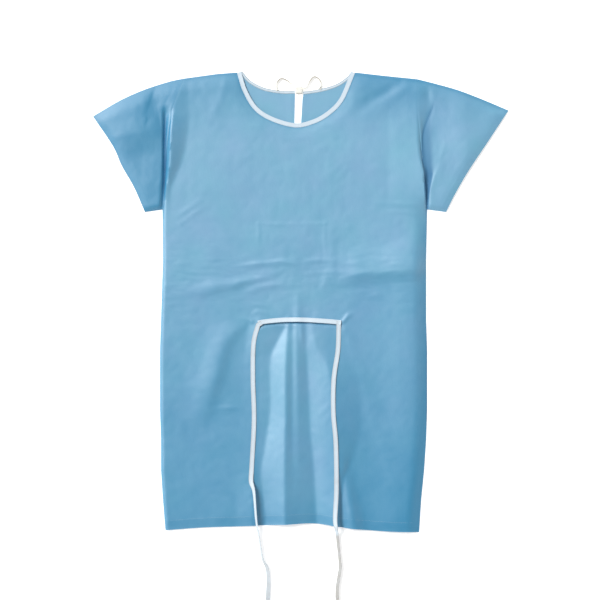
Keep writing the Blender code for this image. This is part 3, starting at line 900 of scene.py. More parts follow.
def pleat_height(lines, x, y, rounding, fade_below=0.0):
    """Height over flat slopes between the lines, whose corners are rounded, fading out past their ends."""
    stations = [curve_through(line, 40) for line in lines]
    places = [np.interp(y, line[:, 1], line[:, 0]) for line in stations]
    rises = [np.interp(y, line[:, 1], line[:, 2]) for line in stations]
    fade = np.clip(1 - (y - min(line[-1, 1] for line in stations)) / PLEAT_FADE, 0, 1)
    if fade_below:
        fade *= np.clip(1 - (max(line[0, 1] for line in stations) - y) / fade_below, 0, 1)
    total = np.zeros(x.shape)
    offsets = np.linspace(-rounding, rounding, 7)
    for offset in offsets:
        shifted = x + offset
        for left, right, low, high in zip(places, places[1:], rises, rises[1:]):
            share = (shifted - left) / np.maximum(right - left, 0.0005)
            total += np.where((share >= 0) & (share < 1), low + share * (high - low), 0)
    return fade * total / len(offsets)


def fold_height(folds, x, y):
    """The sum of the folds' rises. Each is a soft ridge, or a trough where its rise is negative."""
    total = np.zeros(x.shape)
    for fold in folds:
        line = curve_through(fold.stations, 4 * len(fold.stations))
        reach = 3 * (1 + abs(fold.lean)) * line[:, 2].max()
        near = (x > line[:, 0].min() - reach) & (x < line[:, 0].max() + reach)
        near &= (y > line[:, 1].min() - reach) & (y < line[:, 1].max() + reach)
        if not near.any():
            continue
        distance, columns = nearest_on(line, x[near], y[near])
        share = distance / (columns[:, 0] * (1 + fold.lean * np.sign(distance)))
        total[near] += columns[:, 1] * (tent(share) if fold.crisp else np.exp(-(share**2)))
    return total


def unevenness(x, y, scale, height, layer):
    """Smooth noise of that height, with hills about as wide as the scale."""
    seed = bpy.context.scene.gown_stage.seed + layer
    flat = [noise.noise(Vector((a / scale, b / scale, seed))) for a, b in zip(x.ravel(), y.ravel())]
    return height * np.array(flat).reshape(x.shape)


def crinkle(x, y, scale, height, layer):
    """Small sharp wrinkles: valleys where smooth noise changes sign."""
    return height * (np.abs(unevenness(x, y, scale, 1.0, layer)) - 0.3)


def side_x(rows, y, side):
    """x of a side, or of the back opening's edge, at a height."""
    return np.interp(y, [row.y for row in rows], [getattr(row, side) for row in rows])


def line_y(points, x):
    return np.interp(x, [point.x for point in points], [point.y for point in points])


def smooth_hem():
    return curve_through(HEM, 60)


def row_shares():
    """The rows of the body as (zone, share): the share runs from 0 to 1 up each zone."""
    counts = (("skirt", SKIRT_ROWS), ("waist", WAIST_ROWS), ("ribs", RIB_ROWS), ("chest", CHEST_ROWS))
    rows = [(zone, step / count) for zone, count in counts for step in range(count)]
    return rows + [("neck", step / NECK_ROWS) for step in range(NECK_ROWS + 1)]


def body_grid(tops, across, hem_rise=0.0):
    """Plan of a body panel: rows of points, from each column's top point and its x at a height."""
    tops = np.array(tops)
    columns = np.arange(len(tops))
    hem = smooth_hem()
    hem_line = np.interp(across(columns, SIDES[0].y), hem[:, 0], hem[:, 1]) + hem_rise
    ends = {
        "skirt": (hem_line, WAIST_Y),
        "waist": (WAIST_Y, MIDRIFF_Y),
        "ribs": (MIDRIFF_Y, UNDERARM_Y),
        "chest": (UNDERARM_Y, CHEST_Y),
        "neck": (CHEST_Y, tops[:, 1]),
    }
    rows = []
    for zone, share in row_shares():
        start, end = ends[zone]
        y = start + share * (end - start) + np.zeros(len(tops))
        x = across(columns, y)
        if zone == "neck":
            x = x + share * (tops[:, 0] - across(columns, tops[:, 1]))
        rows.append(np.stack([x, y], axis=1))
    return np.array(rows)


def side_shares(count):
    """Shares of the way in from a side edge, closest together at the edge."""
    return np.linspace(0, 1, count, endpoint=False) ** SIDE_GRADING


def front_neck_edge():
    """Where the front's cloth ends at the neck binding."""
    edge = moved_sideways(curve_through(FRONT_NECK, NECK_COLUMNS), -(sizes().binding / 2 + SEAM_GAP))
    edge[:, 1] = np.minimum(edge[:, 1], line_y(LEFT_TOP + RIGHT_TOP, edge[:, 0]))
    return edge


def front_plan():
    neck = front_neck_edge()
    left_x = LEFT_TOP[LEFT_ARMHOLE].x
    right_x = RIGHT_TOP[RIGHT_ARMHOLE].x
    shares = side_shares(SIDE_COLUMNS)
    top_left = left_x + shares * (neck[0, 0] - left_x)
    top_right = right_x + shares[::-1] * (neck[-1, 0] - right_x)
    top_x = np.concatenate([top_left, neck[:, 0], top_right])
    top_y = np.concatenate([line_y(LEFT_TOP, top_left), neck[:, 1], line_y(RIGHT_TOP, top_right)])

    wide_left = side_x(SIDES, WAIST_Y, "left")
    wide_right = side_x(SIDES, WAIST_Y, "right")
    low = np.concatenate([
        wide_left + shares * (NECK_ZONE_LEFT - wide_left),
        np.linspace(NECK_ZONE_LEFT, NECK_ZONE_RIGHT, NECK_COLUMNS + 1),
        wide_right + shares[::-1] * (NECK_ZONE_RIGHT - wide_right),
    ])
    parts = (low - wide_left) / (wide_right - wide_left)

    def across(columns, y):
        left = side_x(SIDES, y, "left")
        return left + parts[columns] * (side_x(SIDES, y, "right") - left)

    return body_grid(np.stack([top_x, top_y], axis=1), across)


def back_plan(side):
    """Plan of one back panel, from its side seam to the opening."""
    inward = -(sizes().back_binding / 2 + SEAM_GAP)
    if side == "left":
        neck = moved_sideways(curve_through(BACK_NECK_LEFT, BACK_NECK_COLUMNS), inward)
        start, edge_top = LEFT_TOP[LEFT_ARMHOLE].x, LEFT_TOP
    else:
        neck = moved_sideways(curve_through(BACK_NECK_RIGHT, BACK_NECK_COLUMNS), inward)[::-1]
        start, edge_top = RIGHT_TOP[RIGHT_ARMHOLE].x, RIGHT_TOP
    neck[0, 1] = min(neck[0, 1], float(line_y(edge_top, neck[0, 0])))
    outside = np.linspace(start, neck[0, 0], BACK_SIDE_COLUMNS, endpoint=False)
    tops = np.vstack([np.stack([outside, line_y(edge_top, outside)], axis=1), neck])
    last = len(tops) - 1

    def across(columns, y):
        outer = side_x(SIDES, y, side)
        return outer + columns / last * (side_x(BACK_OPENING, y, side) - outer)

    return body_grid(tops, across, BACK_HEM_RISE)


def eased(distance, rounding):
    """0 at an edge of the cloth, 1 from the rounding's width inward."""
    return np.sin(np.clip(np.abs(distance) / rounding, 0, 1) * math.pi / 2)


def stepped(distance, edge):
    """1 within the edge's distance, 0 beyond, over a narrow slope: the step of a turned hem."""
    return 1 / (1 + np.exp((distance - edge) / 0.0012))


def above_hem(x, y):
    hem = smooth_hem()
    return y - np.interp(x, hem[:, 0], hem[:, 1])


def side_share(x, y):
    """How far the front has risen from its sides. Along the armholes it stays high up to the seam."""
    size = sizes()
    left = eased(x - side_x(SIDES, y, "left"), size.left_rounding)
    right = eased(side_x(SIDES, y, "right") - x, size.right_rounding)
    drop = np.interp(y, (0.225, 0.275), (1, 0))
    return (1 - drop * (1 - left)) * (1 - drop * (1 - right))


def top_share(x, y):
    """How far the cloth has risen from the shoulders and the neckline."""
    size = sizes()
    shoulder = eased(np.maximum(line_y(LEFT_TOP + RIGHT_TOP, x) - y, 0), size.shoulder_rounding)
    neck, _ = nearest_on(front_neck_edge(), x, y)
    return (0.15 + 0.85 * shoulder) * (0.5 + 0.5 * eased(neck, size.shoulder_rounding))


def cloth_rise(x, y):
    """Rise of the upper cloth, body and sleeves as one, before its sides and cuffs are drawn down."""
    rise = sizes().loft + unevenness(x, y, 0.160, 0.0016, 0) + unevenness(x, y, 0.055, 0.0006, 1)
    waist = np.exp(-(((y - 0.075) / 0.075) ** 2))
    pleats = sum(pleat_height(lines, x, y, 0.0018, PLEAT_FADE) for lines in (LEFT_ARMHOLE_LINES, RIGHT_ARMHOLE_LINES))
    calm = 1 - np.clip(np.abs(pleats) / 0.002, 0, 1)
    rise += crinkle(x * 0.3, y, 0.017, 0.0009, 2) * waist + crinkle(x, y, 0.030, 0.0006, 10) * calm
    rise += unevenness(x, y, 0.013, 0.00018, 3) + pleats
    return rise * top_share(x, y) + fold_height(FOLDS, x, y) + pleat_height(SKIRT_LINES, x, y, 0.004)


def front_height(x, y):
    """Height of the front's upper face."""
    size = sizes()
    up = above_hem(x, y)
    rise = cloth_rise(x, y) + stepped(up, size.hem) * size.cloth
    in_from_right = side_x(SIDES, y, "right") - x
    rise += size.right_crown * np.exp(-(((in_from_right - 0.045) / 0.065) ** 2)) * np.interp(y, (0.10, 0.24), (1, 0))
    rise -= 0.45 * size.loft * np.exp(-((up / 0.022) ** 2))
    return 0.0008 + 2 * size.cloth + side_share(x, y) * np.maximum(rise, 0.0004)


def grid_mesh(plan, top):
    """A grid of faces through the points, with its rows and columns in the plan's order."""
    rows, columns = plan.shape[:2]
    bm = bmesh.new()
    bmesh.ops.create_grid(bm, x_segments=columns - 1, y_segments=rows - 1, size=0.5)
    for vert in bm.verts:
        column = round((vert.co.x + 0.5) * (columns - 1))
        row = round((vert.co.y + 0.5) * (rows - 1))
        vert.co = (*plan[row, column], top[row, column])
    return bm


def add_under_face(bm, wall):
    """Gives an open sheet its thickness, downwards."""
    lower = bmesh.ops.extrude_face_region(bm, geom=list(bm.faces))["geom"]
    for vert in [item for item in lower if isinstance(item, bmesh.types.BMVert)]:
        vert.co.z -= wall


def ring_mesh(rings, closed=False):
    """A skin through rings of points: its ends are capped, or joined to each other where it is closed."""
    bm = bmesh.new()
    bmesh.ops.create_circle(bm, segments=len(rings[0]), radius=1)
    bm.verts.ensure_lookup_table()
    for vert, point in zip(bm.verts, rings[0]):
        vert.co = point
    first = list(bm.edges)
    edges = first
    for ring in rings[1:]:
        grown = bmesh.ops.extrude_edge_only(bm, edges=edges)["geom"]
        edges = [item for item in grown if isinstance(item, bmesh.types.BMEdge)]
        bm.verts.ensure_lookup_table()
        for vert, point in zip(bm.verts[-len(ring):], ring):
            vert.co = point
    if closed:
        bmesh.ops.bridge_loops(bm, edges=first + edges)
    else:
        bmesh.ops.contextual_create(bm, geom=first)
        bmesh.ops.contextual_create(bm, geom=edges)
    bmesh.ops.recalc_face_normals(bm, faces=bm.faces)
    return bm


def finish_piece(name, bm, finish, nodes=()):
    """Turns a mesh into a piece of the gown that stands for the given nodes."""
    mesh = bpy.data.meshes.new(name)
    bm.to_mesh(mesh)
    bm.free()
    mesh.materials.append(finish)
    mesh.shade_smooth()
    mesh.set_sharp_from_angle(angle=math.radians(50))
    piece = bpy.data.objects.new(name, mesh)
    bpy.context.scene.collection.objects.link(piece)
    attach(piece, "root")
    if nodes:
        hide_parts(*nodes)
    return piece


def set_attribute(piece, name, values):
    attribute = piece.data.attributes.new(name, "FLOAT", "POINT")
    attribute.data.foreach_set("value", np.asarray(values, np.float32))


def vertex_places(piece):
    places = np.empty(len(piece.data.vertices) * 3)
    piece.data.vertices.foreach_get("co", places)
    return places.reshape(-1, 3)


def groove_side(x, y):
    """1 on the left groove's side towards the body, as far as its crest, and 0 elsewhere."""
    low, high = (
        np.interp(y, line[:, 1], line[:, 0]) for line in (curve_through(LEFT_ARMHOLE_LINES[row], 40) for row in (3, 4))
    )
    across = np.clip((x - low) / 0.0015 + 0.5, 0, 1) * np.clip((high - x) / 0.0015 + 0.5, 0, 1)
    return across * between_values(y, (0.25, 0.28), (0.51, 0.55))


def between_values(value, rise, fall):
    """1 between the end of the rise and the start of the fall, 0 outside both."""
    return np.interp(value, (*rise, *fall), (0, 1, 1, 0))


def painted_cloth_light(x, y):
    """Painted light and shade, not the cloth's own colour: paler towards the chest than at the hem and shoulders, with
    painted shade in the armholes' grooves.
    """
    # Painted light falloff: paler towards the chest, darker towards the hem and the shoulders
    tone = np.interp(y, (-0.60, -0.30, -0.05, 0.20, 0.42, 0.50, 0.58), (0.20, 0.26, 0.48, 0.67, 0.72, 0.53, 0.28))
    # Painted shade on the skirt's lower right, painted light between the ties and about the waist tape, and painted
    # shade below the right waist crease and on the right shoulder
    tone -= 0.17 * np.interp(x, (0.05, 0.25), (0, 1)) * np.interp(y, (-0.50, -0.30), (1, 0))
    tone += 0.20 * between_values(x, (-0.118, -0.106), (0.052, 0.072)) * between_values(y, (-0.58, -0.50), (-0.09, -0.06))
    tone += 0.12 * between_values(x, (-0.16, -0.08), (0.03, 0.09)) * between_values(y, (-0.05, -0.02), (0.05, 0.10))
    tone -= 0.14 * between_values(x, (0.11, 0.16), (0.28, 0.34)) * between_values(y, (-0.12, 0.03), (0.07, 0.08))
    tone -= 0.16 * between_values(x, (0.12, 0.17), (0.30, 0.34)) * between_values(y, (0.47, 0.53), (0.60, 0.62))
    # Painted shade along the right side below the armhole, and along the shoulders' top edges
    in_from_right = side_x(SIDES, y, "right") - x
    tone -= 0.34 * np.exp(-((in_from_right / 0.020) ** 2)) * np.interp(y, (0.18, 0.24), (1, 0))
    tone -= 0.35 * np.exp(-(((line_y(LEFT_TOP + RIGHT_TOP, x) - y) / 0.007) ** 2))
    # Painted shade in the armholes' grooves, and on the slope beside the left armhole's crest
    left, right = (
        pleat_height(lines, x, y, 0.0018, PLEAT_FADE) for lines in (LEFT_ARMHOLE_LINES, RIGHT_ARMHOLE_LINES)
    )
    tone -= 0.5 * np.clip(-left / 0.005, 0, 1) + 0.5 * np.clip(-right / 0.005, 0, 1)
    return tone - 0.22 * np.clip(left / 0.006, 0, 1)


def armhole_shade_amount(x, y):
    """Painted shade: 1 inside the armholes' grooves and the right armhole's pocket and crease, where no light gets in,
    and 0 elsewhere.
    """
    depth = -pleat_height(LEFT_ARMHOLE_LINES, x, y, 0.0018, PLEAT_FADE)
    left = np.clip((depth - 0.0034) / 0.0026, 0, 1)
    near, far = (curve_through(line, 40) for line in RIGHT_ARMHOLE_LINES[2:4])
    start = np.interp(y, near[:, 1], near[:, 0]) - 0.001
    end = np.interp(y, far[:, 1], far[:, 0]) + np.interp(y, (0.335, 0.360), (0.0034, 0.0))
    softness = np.interp(y, (0.335, 0.360), (0.0008, 0.0030))
    inside = 1 / (1 + np.exp(np.clip((start - x) / 0.0008, -40, 40)))
    inside /= 1 + np.exp(np.clip((x - end) / softness, -40, 40))
    heights, darkness = zip(*POCKET_PAINTED_SHADE)
    crease = np.exp(-(((x - start - 0.001) / 0.0020) ** 2)) * between_values(y, (0.33, 0.36), (0.50, 0.53))
    right = np.maximum(inside * np.interp(y, heights, darkness), crease) * (x > 0)
    return np.maximum(left, right)


class Link:
    """A shader socket that can be used in sums."""

    def __init__(self, shader, socket):
        self.shader = shader
        self.socket = socket

    def _math(self, operation, *values):
        return self.shader.node("ShaderNodeMath", {"operation": operation}, *values)[0]

    def __add__(self, other):
        return self._math("ADD", self, other)

    def __sub__(self, other):
        return self._math("SUBTRACT", self, other)

    def __rsub__(self, other):
        return self._math("SUBTRACT", other, self)

    def __mul__(self, other):
        return self._math("MULTIPLY", self, other)

    def power(self, other):
        return self._math("POWER", self, other)

    def absolute(self):
        return self._math("ABSOLUTE", self)

    __radd__ = __add__
    __rmul__ = __mul__


class Shader:
    """Builds one material's nodes."""

    def __init__(self, name):
        self.material = bpy.data.materials.new(name)
        self.material.use_nodes = True
        self.nodes = self.material.node_tree.nodes
        self.surface = self.nodes["Principled BSDF"]

    def feed(self, socket, value):
        if isinstance(value, Link):
            self.material.node_tree.links.new(value.socket, socket)
        elif isinstance(value, tuple) and len(value) == 3 and len(socket.default_value) == 4:
            socket.default_value = (*value, 1.0)
        else:
            socket.default_value = value

    def node(self, kind, settings, *values, **named):
        """Makes a node: its settings first, then its sockets in order or by name. Returns its outputs."""
        made = self.nodes.new(kind)
        for key, value in settings.items():
            setattr(made, key, value)
        for socket, value in zip(made.inputs, values):
            self.feed(socket, value)
        for key, value in named.items():
            self.feed(made.inputs[key.replace("_", " ")], value)
        return [Link(self, socket) for socket in made.outputs]

    def mix(self, factor, low, high):
        """A colour between two others."""
        made = self.nodes.new("ShaderNodeMix")
        made.data_type = "RGBA"
        made.clamp_factor = True
        self.feed(made.inputs["Factor"], factor)
        self.feed(made.inputs["A"], low)
        self.feed(made.inputs["B"], high)
        colour = [socket for socket in made.inputs if socket.type == "RGBA"]
        self.feed(colour[0], low)
        self.feed(colour[1], high)
        return Link(self, [socket for socket in made.outputs if socket.type == "RGBA"][0])

    def place(self):
        return self.node("ShaderNodeTexCoord", {})[3]

    def attribute(self, name):
        return self.node("ShaderNodeAttribute", {"attribute_name": name})[2]

    def noise(self, scale, detail=2.0, roughness=0.5):
        return self.node(
            "ShaderNodeTexNoise", {}, Vector=self.place(), Scale=scale, Detail=detail, Roughness=roughness
        )[0]

    def bump(self, height, distance, strength=1.0):
        normal = self.node("ShaderNodeBump", {}, Strength=strength, Distance=distance, Height=height)[0]
        self.feed(self.surface.inputs["Normal"], normal)

    def finish(self, colour, roughness, **plain):
        self.feed(self.surface.inputs["Base Color"], colour)
        self.feed(self.surface.inputs["Roughness"], roughness)
        for key, value in plain.items():
            self.surface.inputs[key.replace("_", " ")].default_value = value
        return self.material


def cloth_finish():
    """Matt spun-bonded cloth: fine embossed points, loose fibres and a cloudy thickness."""
    known = bpy.data.materials.get("gown cloth")
    if known:
        return known
    shader = Shader("gown cloth")
    clouds = shader.noise(34.0, 3.0)
    fibres = shader.noise(700.0, 3.0, 0.6)
    points = shader.node(
        "ShaderNodeTexVoronoi", {"voronoi_dimensions": "2D"}, Vector=shader.place(), Scale=760.0, Randomness=0.35
    )[0]
    # The per-point painted light and shade, plus the cloth's random cloudy and fibrous mottle
    tone = shader.attribute("tone") + (clouds - 0.5) * 0.22 + (fibres - 0.5) * 0.16
    armhole_shade = shader.attribute("armhole_shade")
    drift = shader.noise(9.0, 2.0)
    greener, bluer = (
        tuple(channel * factor for channel, factor in zip(colours().lit, factors))
        for factors in ((0.72, 1.05, 0.94), (1.28, 0.95, 1.06))
    )
    # Base colour from the painted-shade colour to the pale cloth colour by that level, the pale one drifting at random
    # between greener and bluer
    colour = shader.mix(tone, tuple(colours().painted_shade), shader.mix(drift, greener, bluer))
    # Painted shade inside the armholes' grooves and pocket; the same mask also makes the cloth rougher there
    colour = shader.mix(armhole_shade * 0.95, colour, tuple(colours().armhole_shade))
    shader.bump(points * 0.5 + fibres * 0.8 + clouds * 0.5, 0.0005, 0.35)
    return shader.finish(
        colour,
        0.54 + (fibres - 0.5) * 0.12 + armhole_shade * 0.3,
        IOR=1.8,
        Specular_IOR_Level=0.8,
    )


def tape_finish(name, colour, edge_shade_colour=None, edge_shade_share=0.25):
    """Tape: fine ribs across it, and painted shade along its edges, as if slightly rolled, in a darker copy of its
    colour or in a given shade colour.
    """
    known = bpy.data.materials.get(name)
    if known:
        return known
    shader = Shader(name)
    along = shader.attribute("along")
    across = shader.attribute("across")
    ribs = shader.node("ShaderNodeMath", {"operation": "SINE"}, along * (2 * math.pi / 0.0011))[0]
    edge = (across - 0.5).absolute() * 2.0
    soil = shader.noise(60.0, 3.0)
    fibres = shader.noise(900.0, 2.0)
    # Painted shade where the across attribute is far from the middle: on the edges, and where it is set so on ties,
    # loops and knot; plus random soil and fibre mottle
    shade = edge.power(1.8 if edge_shade_colour else 6.0) * edge_shade_share + (soil - 0.5) * 0.35 + (fibres - 0.5) * 0.2
    darker = edge_shade_colour or tuple(channel * factor for channel, factor in zip(colour, (0.78, 0.87, 0.93)))
    shader.bump(ribs * 0.25 + fibres * 0.8, 0.0003, 0.5)
    return shader.finish(shader.mix(shade, colour, darker), 0.7 + (fibres - 0.5) * 0.2, Sheen_Weight=0.15)


def thread_finish():
    known = bpy.data.materials.get("gown thread")
    if known:
        return known
    shader = Shader("gown thread")
    twist = shader.noise(2500.0, 1.0)
    shader.bump(twist, 0.0001, 0.5)
    pale = tuple(colours().thread)
    return shader.finish(shader.mix(twist, pale, tuple(c * 0.85 for c in pale)), 0.6 + twist * 0.1)


def white_tape():
    return tape_finish("gown tape", tuple(colours().tape))


def back_binding_tape():
    return tape_finish("gown back tape", tuple(colours().tape), tuple(colours().edge), 0.9)


def tie_tape():
    return tape_finish("gown tie tape", tuple(colours().tape), tuple(colours().shaded_tie), 0.95)


def bow_tape():
    return tape_finish("gown bow tape", tuple(colours().knot), tuple(colours().loop), 0.95)


def tape_rings(line, turns, base, width, thick):
    """Rings of a flat tape with round edges, turned about its middle line."""
    rings = []
    for place, forward, turn, height in zip(line, directions(line), turns, base):
        angle = math.radians(turn)
        aside = Vector((forward[1], -forward[0], 0))
        wide = (aside * math.cos(angle) + Vector((0, 0, math.sin(angle)))) * width / 2
        high = (Vector((0, 0, math.cos(angle))) - aside * math.sin(angle)) * thick
        middle = Vector((place[0], place[1], height + abs(math.sin(angle)) * width / 2)) + high / 2
        ring = []
        for share, level in TAPE_SECTION:
            ring.append(middle + wide * share + high * level)
        rings.append(ring)
    return rings


TAPE_SECTION = (
    (-1.0, 0.0), (-0.96, -0.5), (-0.5, -0.5), (0.0, -0.5), (0.5, -0.5), (0.96, -0.5),
    (1.0, 0.0), (0.96, 0.5), (0.5, 0.45), (0.0, 0.42), (-0.5, 0.45), (-0.96, 0.5),
)


def tape_piece(name, line, turns, base, width, thick, finish, nodes):
    """A tape along a line, with its run and its place across stored for the material."""
    bm = ring_mesh(tape_rings(line, turns, base, width, thick))
    piece = finish_piece(name, bm, finish, nodes)
    steps = np.linalg.norm(np.diff(line[:, :2], axis=0), axis=1)
    run = np.concatenate([[0], np.cumsum(steps)])
    set_attribute(piece, "along", np.repeat(run, len(TAPE_SECTION)))
    set_attribute(piece, "across", np.tile([(share + 1) / 2 for share, _ in TAPE_SECTION], len(line)))
    return piece


def height_below(line, turns, width):
    """The height at which a tape lies on the front, or on the surface past the hem."""
    hem = smooth_hem()
    highest = np.zeros(len(line))
    along = directions(line)
    aside = np.stack([along[:, 1], -along[:, 0]], axis=1)
    reach = width / 2 * np.cos(np.radians(turns))
    for across in (-1, -0.5, 0, 0.5, 1):
        for forward in (-0.004, 0, 0.004):
            place = line[:, :2] + aside * (reach * across)[:, None] + along * forward
            on_front = place[:, 1] > np.interp(place[:, 0], hem[:, 0], hem[:, 1]) - 0.001
            height = np.where(on_front, front_height(place[:, 0], place[:, 1]) + SEAM_GAP, 0.0)
            highest = np.maximum(highest, height)
    return highest


def softened(values, steps):
    """Rounds a run of heights without letting it fall below what is under it."""
    for _ in range(steps):
        padded = np.concatenate([values[:1], values, values[-1:]])
        values = np.maximum(values, (padded[:-2] + padded[1:-1] + padded[2:]) / 3)
    return values


class GOWN_OT_front(bpy.types.Operator):
    """Makes the front panel, with its folds, turned hem and rounded sides"""

    bl_idname = "gown.front"
    bl_label = "Front"

    def execute(self, context):
        plan = front_plan()
        x, y = plan[..., 0], plan[..., 1]
        top = front_height(x, y)
        bm = grid_mesh(plan, top)
        add_under_face(bm, sizes().cloth)
        bmesh.ops.recalc_face_normals(bm, faces=bm.faces)
        piece = finish_piece("gown_front", bm, cloth_finish(), ["front"])
        places = vertex_places(piece)
        doubled = stepped(above_hem(places[:, 0], places[:, 1]), sizes().hem)
        seam, _ = nearest_on(front_neck_edge(), places[:, 0], places[:, 1])
        # Darker: a little for the doubled hem, plus painted shade along the neck seam and on the left armhole groove's
        # steep side
        darker = 0.03 * doubled + 0.30 * np.exp(-((seam / 0.004) ** 2))
        darker += 0.32 * groove_side(places[:, 0], places[:, 1])
        set_attribute(piece, "tone", painted_cloth_light(places[:, 0], places[:, 1]) - darker)
        set_attribute(piece, "armhole_shade", armhole_shade_amount(places[:, 0], places[:, 1]))
        return {"FINISHED"}


class GOWN_OT_back(bpy.types.Operator):
    """Makes the two back panels, with the turned edges of the opening between them"""

    bl_idname = "gown.back"
    bl_label = "Back panels"

    def execute(self, context):
        for side, flat, area in (("left", (0.362, 1.20), 0.408), ("right", (0.338, 1.20), 0.387)):
            self.panel(side, flat, area)
        return {"FINISHED"}

    def panel(self, side, flat, area):
        plan = back_plan(side)
        x, y = plan[..., 0], plan[..., 1]
        opening = np.abs(x - side_x(BACK_OPENING, y, side))
        top = 0.0009 + stepped(opening, sizes().back_hem) * 0.0004
        top += unevenness(x, y, 0.05, 0.0002, 4) * (y < 0.53)
        bm = grid_mesh(plan, top)
        add_under_face(bm, sizes().cloth)
        for vert in bm.verts:
            vert.co.z = max(vert.co.z, 0.0)
        bmesh.ops.recalc_face_normals(bm, faces=bm.faces)
        piece = finish_piece(f"gown_back_{side}", bm, cloth_finish(), [f"back_{side}"])
        places = vertex_places(piece)
        # An even level of painted light for the back panels
        set_attribute(piece, "tone", np.full(len(places), 0.78))


class GOWN_OT_sleeves(bpy.types.Operator):
    """Makes the two short sleeves, each a flattened tube with a turned cuff"""

    bl_idname = "gown.sleeves"
    bl_label = "Sleeves"

    def execute(self, context):
        self.sleeve("left", (0.70, 0.27), 0.0852)
        self.sleeve("right", (0.70, 0.28), 0.0978)
        return {"FINISHED"}

    def patch(self, side):
        """Plan: points from the armhole to the cuff, each section from the top line to the underarm."""
        column = 0 if side == "left" else -1
        outward = -1 if side == "left" else 1
        rows = [index for index, row in enumerate(row_shares()) if row[0] in ("chest", "neck")]
        armhole = front_plan()[rows[::-1], column]
        armhole[:, 0] += outward * SEAM_GAP
        down = len(armhole) - 1
        cuff = curve_through(LEFT_CUFF if side == "left" else RIGHT_CUFF, down)
        top = LEFT_TOP[LEFT_ARMHOLE::-1] if side == "left" else RIGHT_TOP[RIGHT_ARMHOLE:]
        shares = np.linspace(0, 1, SLEEVE_SECTIONS + 1) ** SLEEVE_GRADING
        top = curve_through(top, 200)
        top[0] = armhole[0]
        top = np.stack([np.interp(shares, np.linspace(0, 1, 201), column) for column in top.T], axis=1)
        out = shares[:, None, None]
        under = armhole[-1] + shares[:, None] * (cuff[-1] - armhole[-1])
        low = np.linspace(0, 1, down + 1)[None, :, None]
        between_ends = (1 - out) * armhole[None] + out * cuff[None]
        between_edges = (1 - low) * top[:, None] + low * under[:, None]
        corners = (1 - out) * ((1 - low) * armhole[0] + low * armhole[-1])
        corners = corners + out * ((1 - low) * cuff[0] + low * cuff[-1])
        return between_ends + between_edges - corners

    def height(self, patch):
        """Height of the upper face, which meets the front's along the armhole."""
        size = sizes()
        x, y = patch[..., 0], patch[..., 1]
        under, _ = nearest_on(patch[1:, -1], x, y)
        seam, _ = nearest_on(patch[0], x, y)
        cuff, _ = nearest_on(patch[-1], x, y)
        rise = cloth_rise(x, y) + stepped(np.abs(cuff), size.sleeve_hem) * size.cloth
        share = eased(under, 0.014) * (0.4 + 0.6 * eased(cuff, 0.030))
        height = 0.0008 + 2 * size.cloth + share * np.maximum(rise, 0.0004)
        at_seam = front_height(patch[0, :, 0], patch[0, :, 1])[None, :]
        return height + np.exp(-((seam / 0.006) ** 2)) * (at_seam - height)

    def drawn_in(self, section, inset):
        """The section's points, drawn in from both its ends."""
        share = inset / np.linalg.norm(section[-1] - section[0])
        places = np.linspace(0, 1, len(section))
        wanted = share + places * (1 - 2 * share)
        return np.stack([np.interp(wanted, places, column) for column in section.T], axis=1)

    def sleeve(self, side, flat, area):
        wall = sizes().cloth
        patch = self.patch(side)
        top = self.height(patch)
        outer = []
        inner = []
        for plan, height in zip(patch, top):
            section = np.column_stack([plan, height])
            within = self.drawn_in(section, wall)
            outer.append([Vector(p) for p in section] + [Vector((x, y, 0.0)) for x, y, _ in section[::-1]])
            upper = [Vector((x, y, z - wall)) for x, y, z in within]
            inner.append(upper + [Vector((x, y, wall)) for x, y, _ in within[::-1]])
        bm = ring_mesh(outer + inner[::-1], closed=True)
        piece = finish_piece(f"gown_sleeve_{side}", bm, cloth_finish(), [f"sleeve_{side}"])
        places = vertex_places(piece)
        # Painted light: the left sleeve gets a much darker level of painted light than the right one, and paler
        # painted light on the left groove's steep side
        sleeve_painted_light = -0.54 if side == "left" else 0.06
        tone = painted_cloth_light(places[:, 0], places[:, 1]) + sleeve_painted_light
        set_attribute(piece, "tone", tone + 0.30 * groove_side(places[:, 0], places[:, 1]))
        set_attribute(piece, "armhole_shade", armhole_shade_amount(places[:, 0], places[:, 1]))


class GOWN_OT_neck_binding(bpy.types.Operator):
    """Makes the white tape that is folded over the neck edge, in front and behind"""

    bl_idname = "gown.neck_binding"
    bl_label = "Neck binding"

    def execute(self, context):
        size = sizes()
        strips = (
            ("front", FRONT_NECK, size.binding, 0.0018, 130, white_tape()),
            ("back_left", BACK_NECK_LEFT, size.back_binding, 0.0013, 50, back_binding_tape()),
            ("back_right", BACK_NECK_RIGHT, size.back_binding, 0.0013, 50, back_binding_tape()),
        )
        for place, points, width, thick, count, finish in strips:
            line = curve_through(points, count)
            base = np.abs(unevenness(line[:, 0], line[:, 1], 0.02, 0.0004, 9))
            if place == "front":
                cloth_edge = moved_sideways(line, -width / 2)
                base += front_height(cloth_edge[:, 0], cloth_edge[:, 1]) - 0.0012
            tape_piece(
                f"gown_neck_binding_{place}", line, np.zeros(len(line)), base, width, thick, finish,
                [f"neck_binding_{place}"],
            )
        return {"FINISHED"}


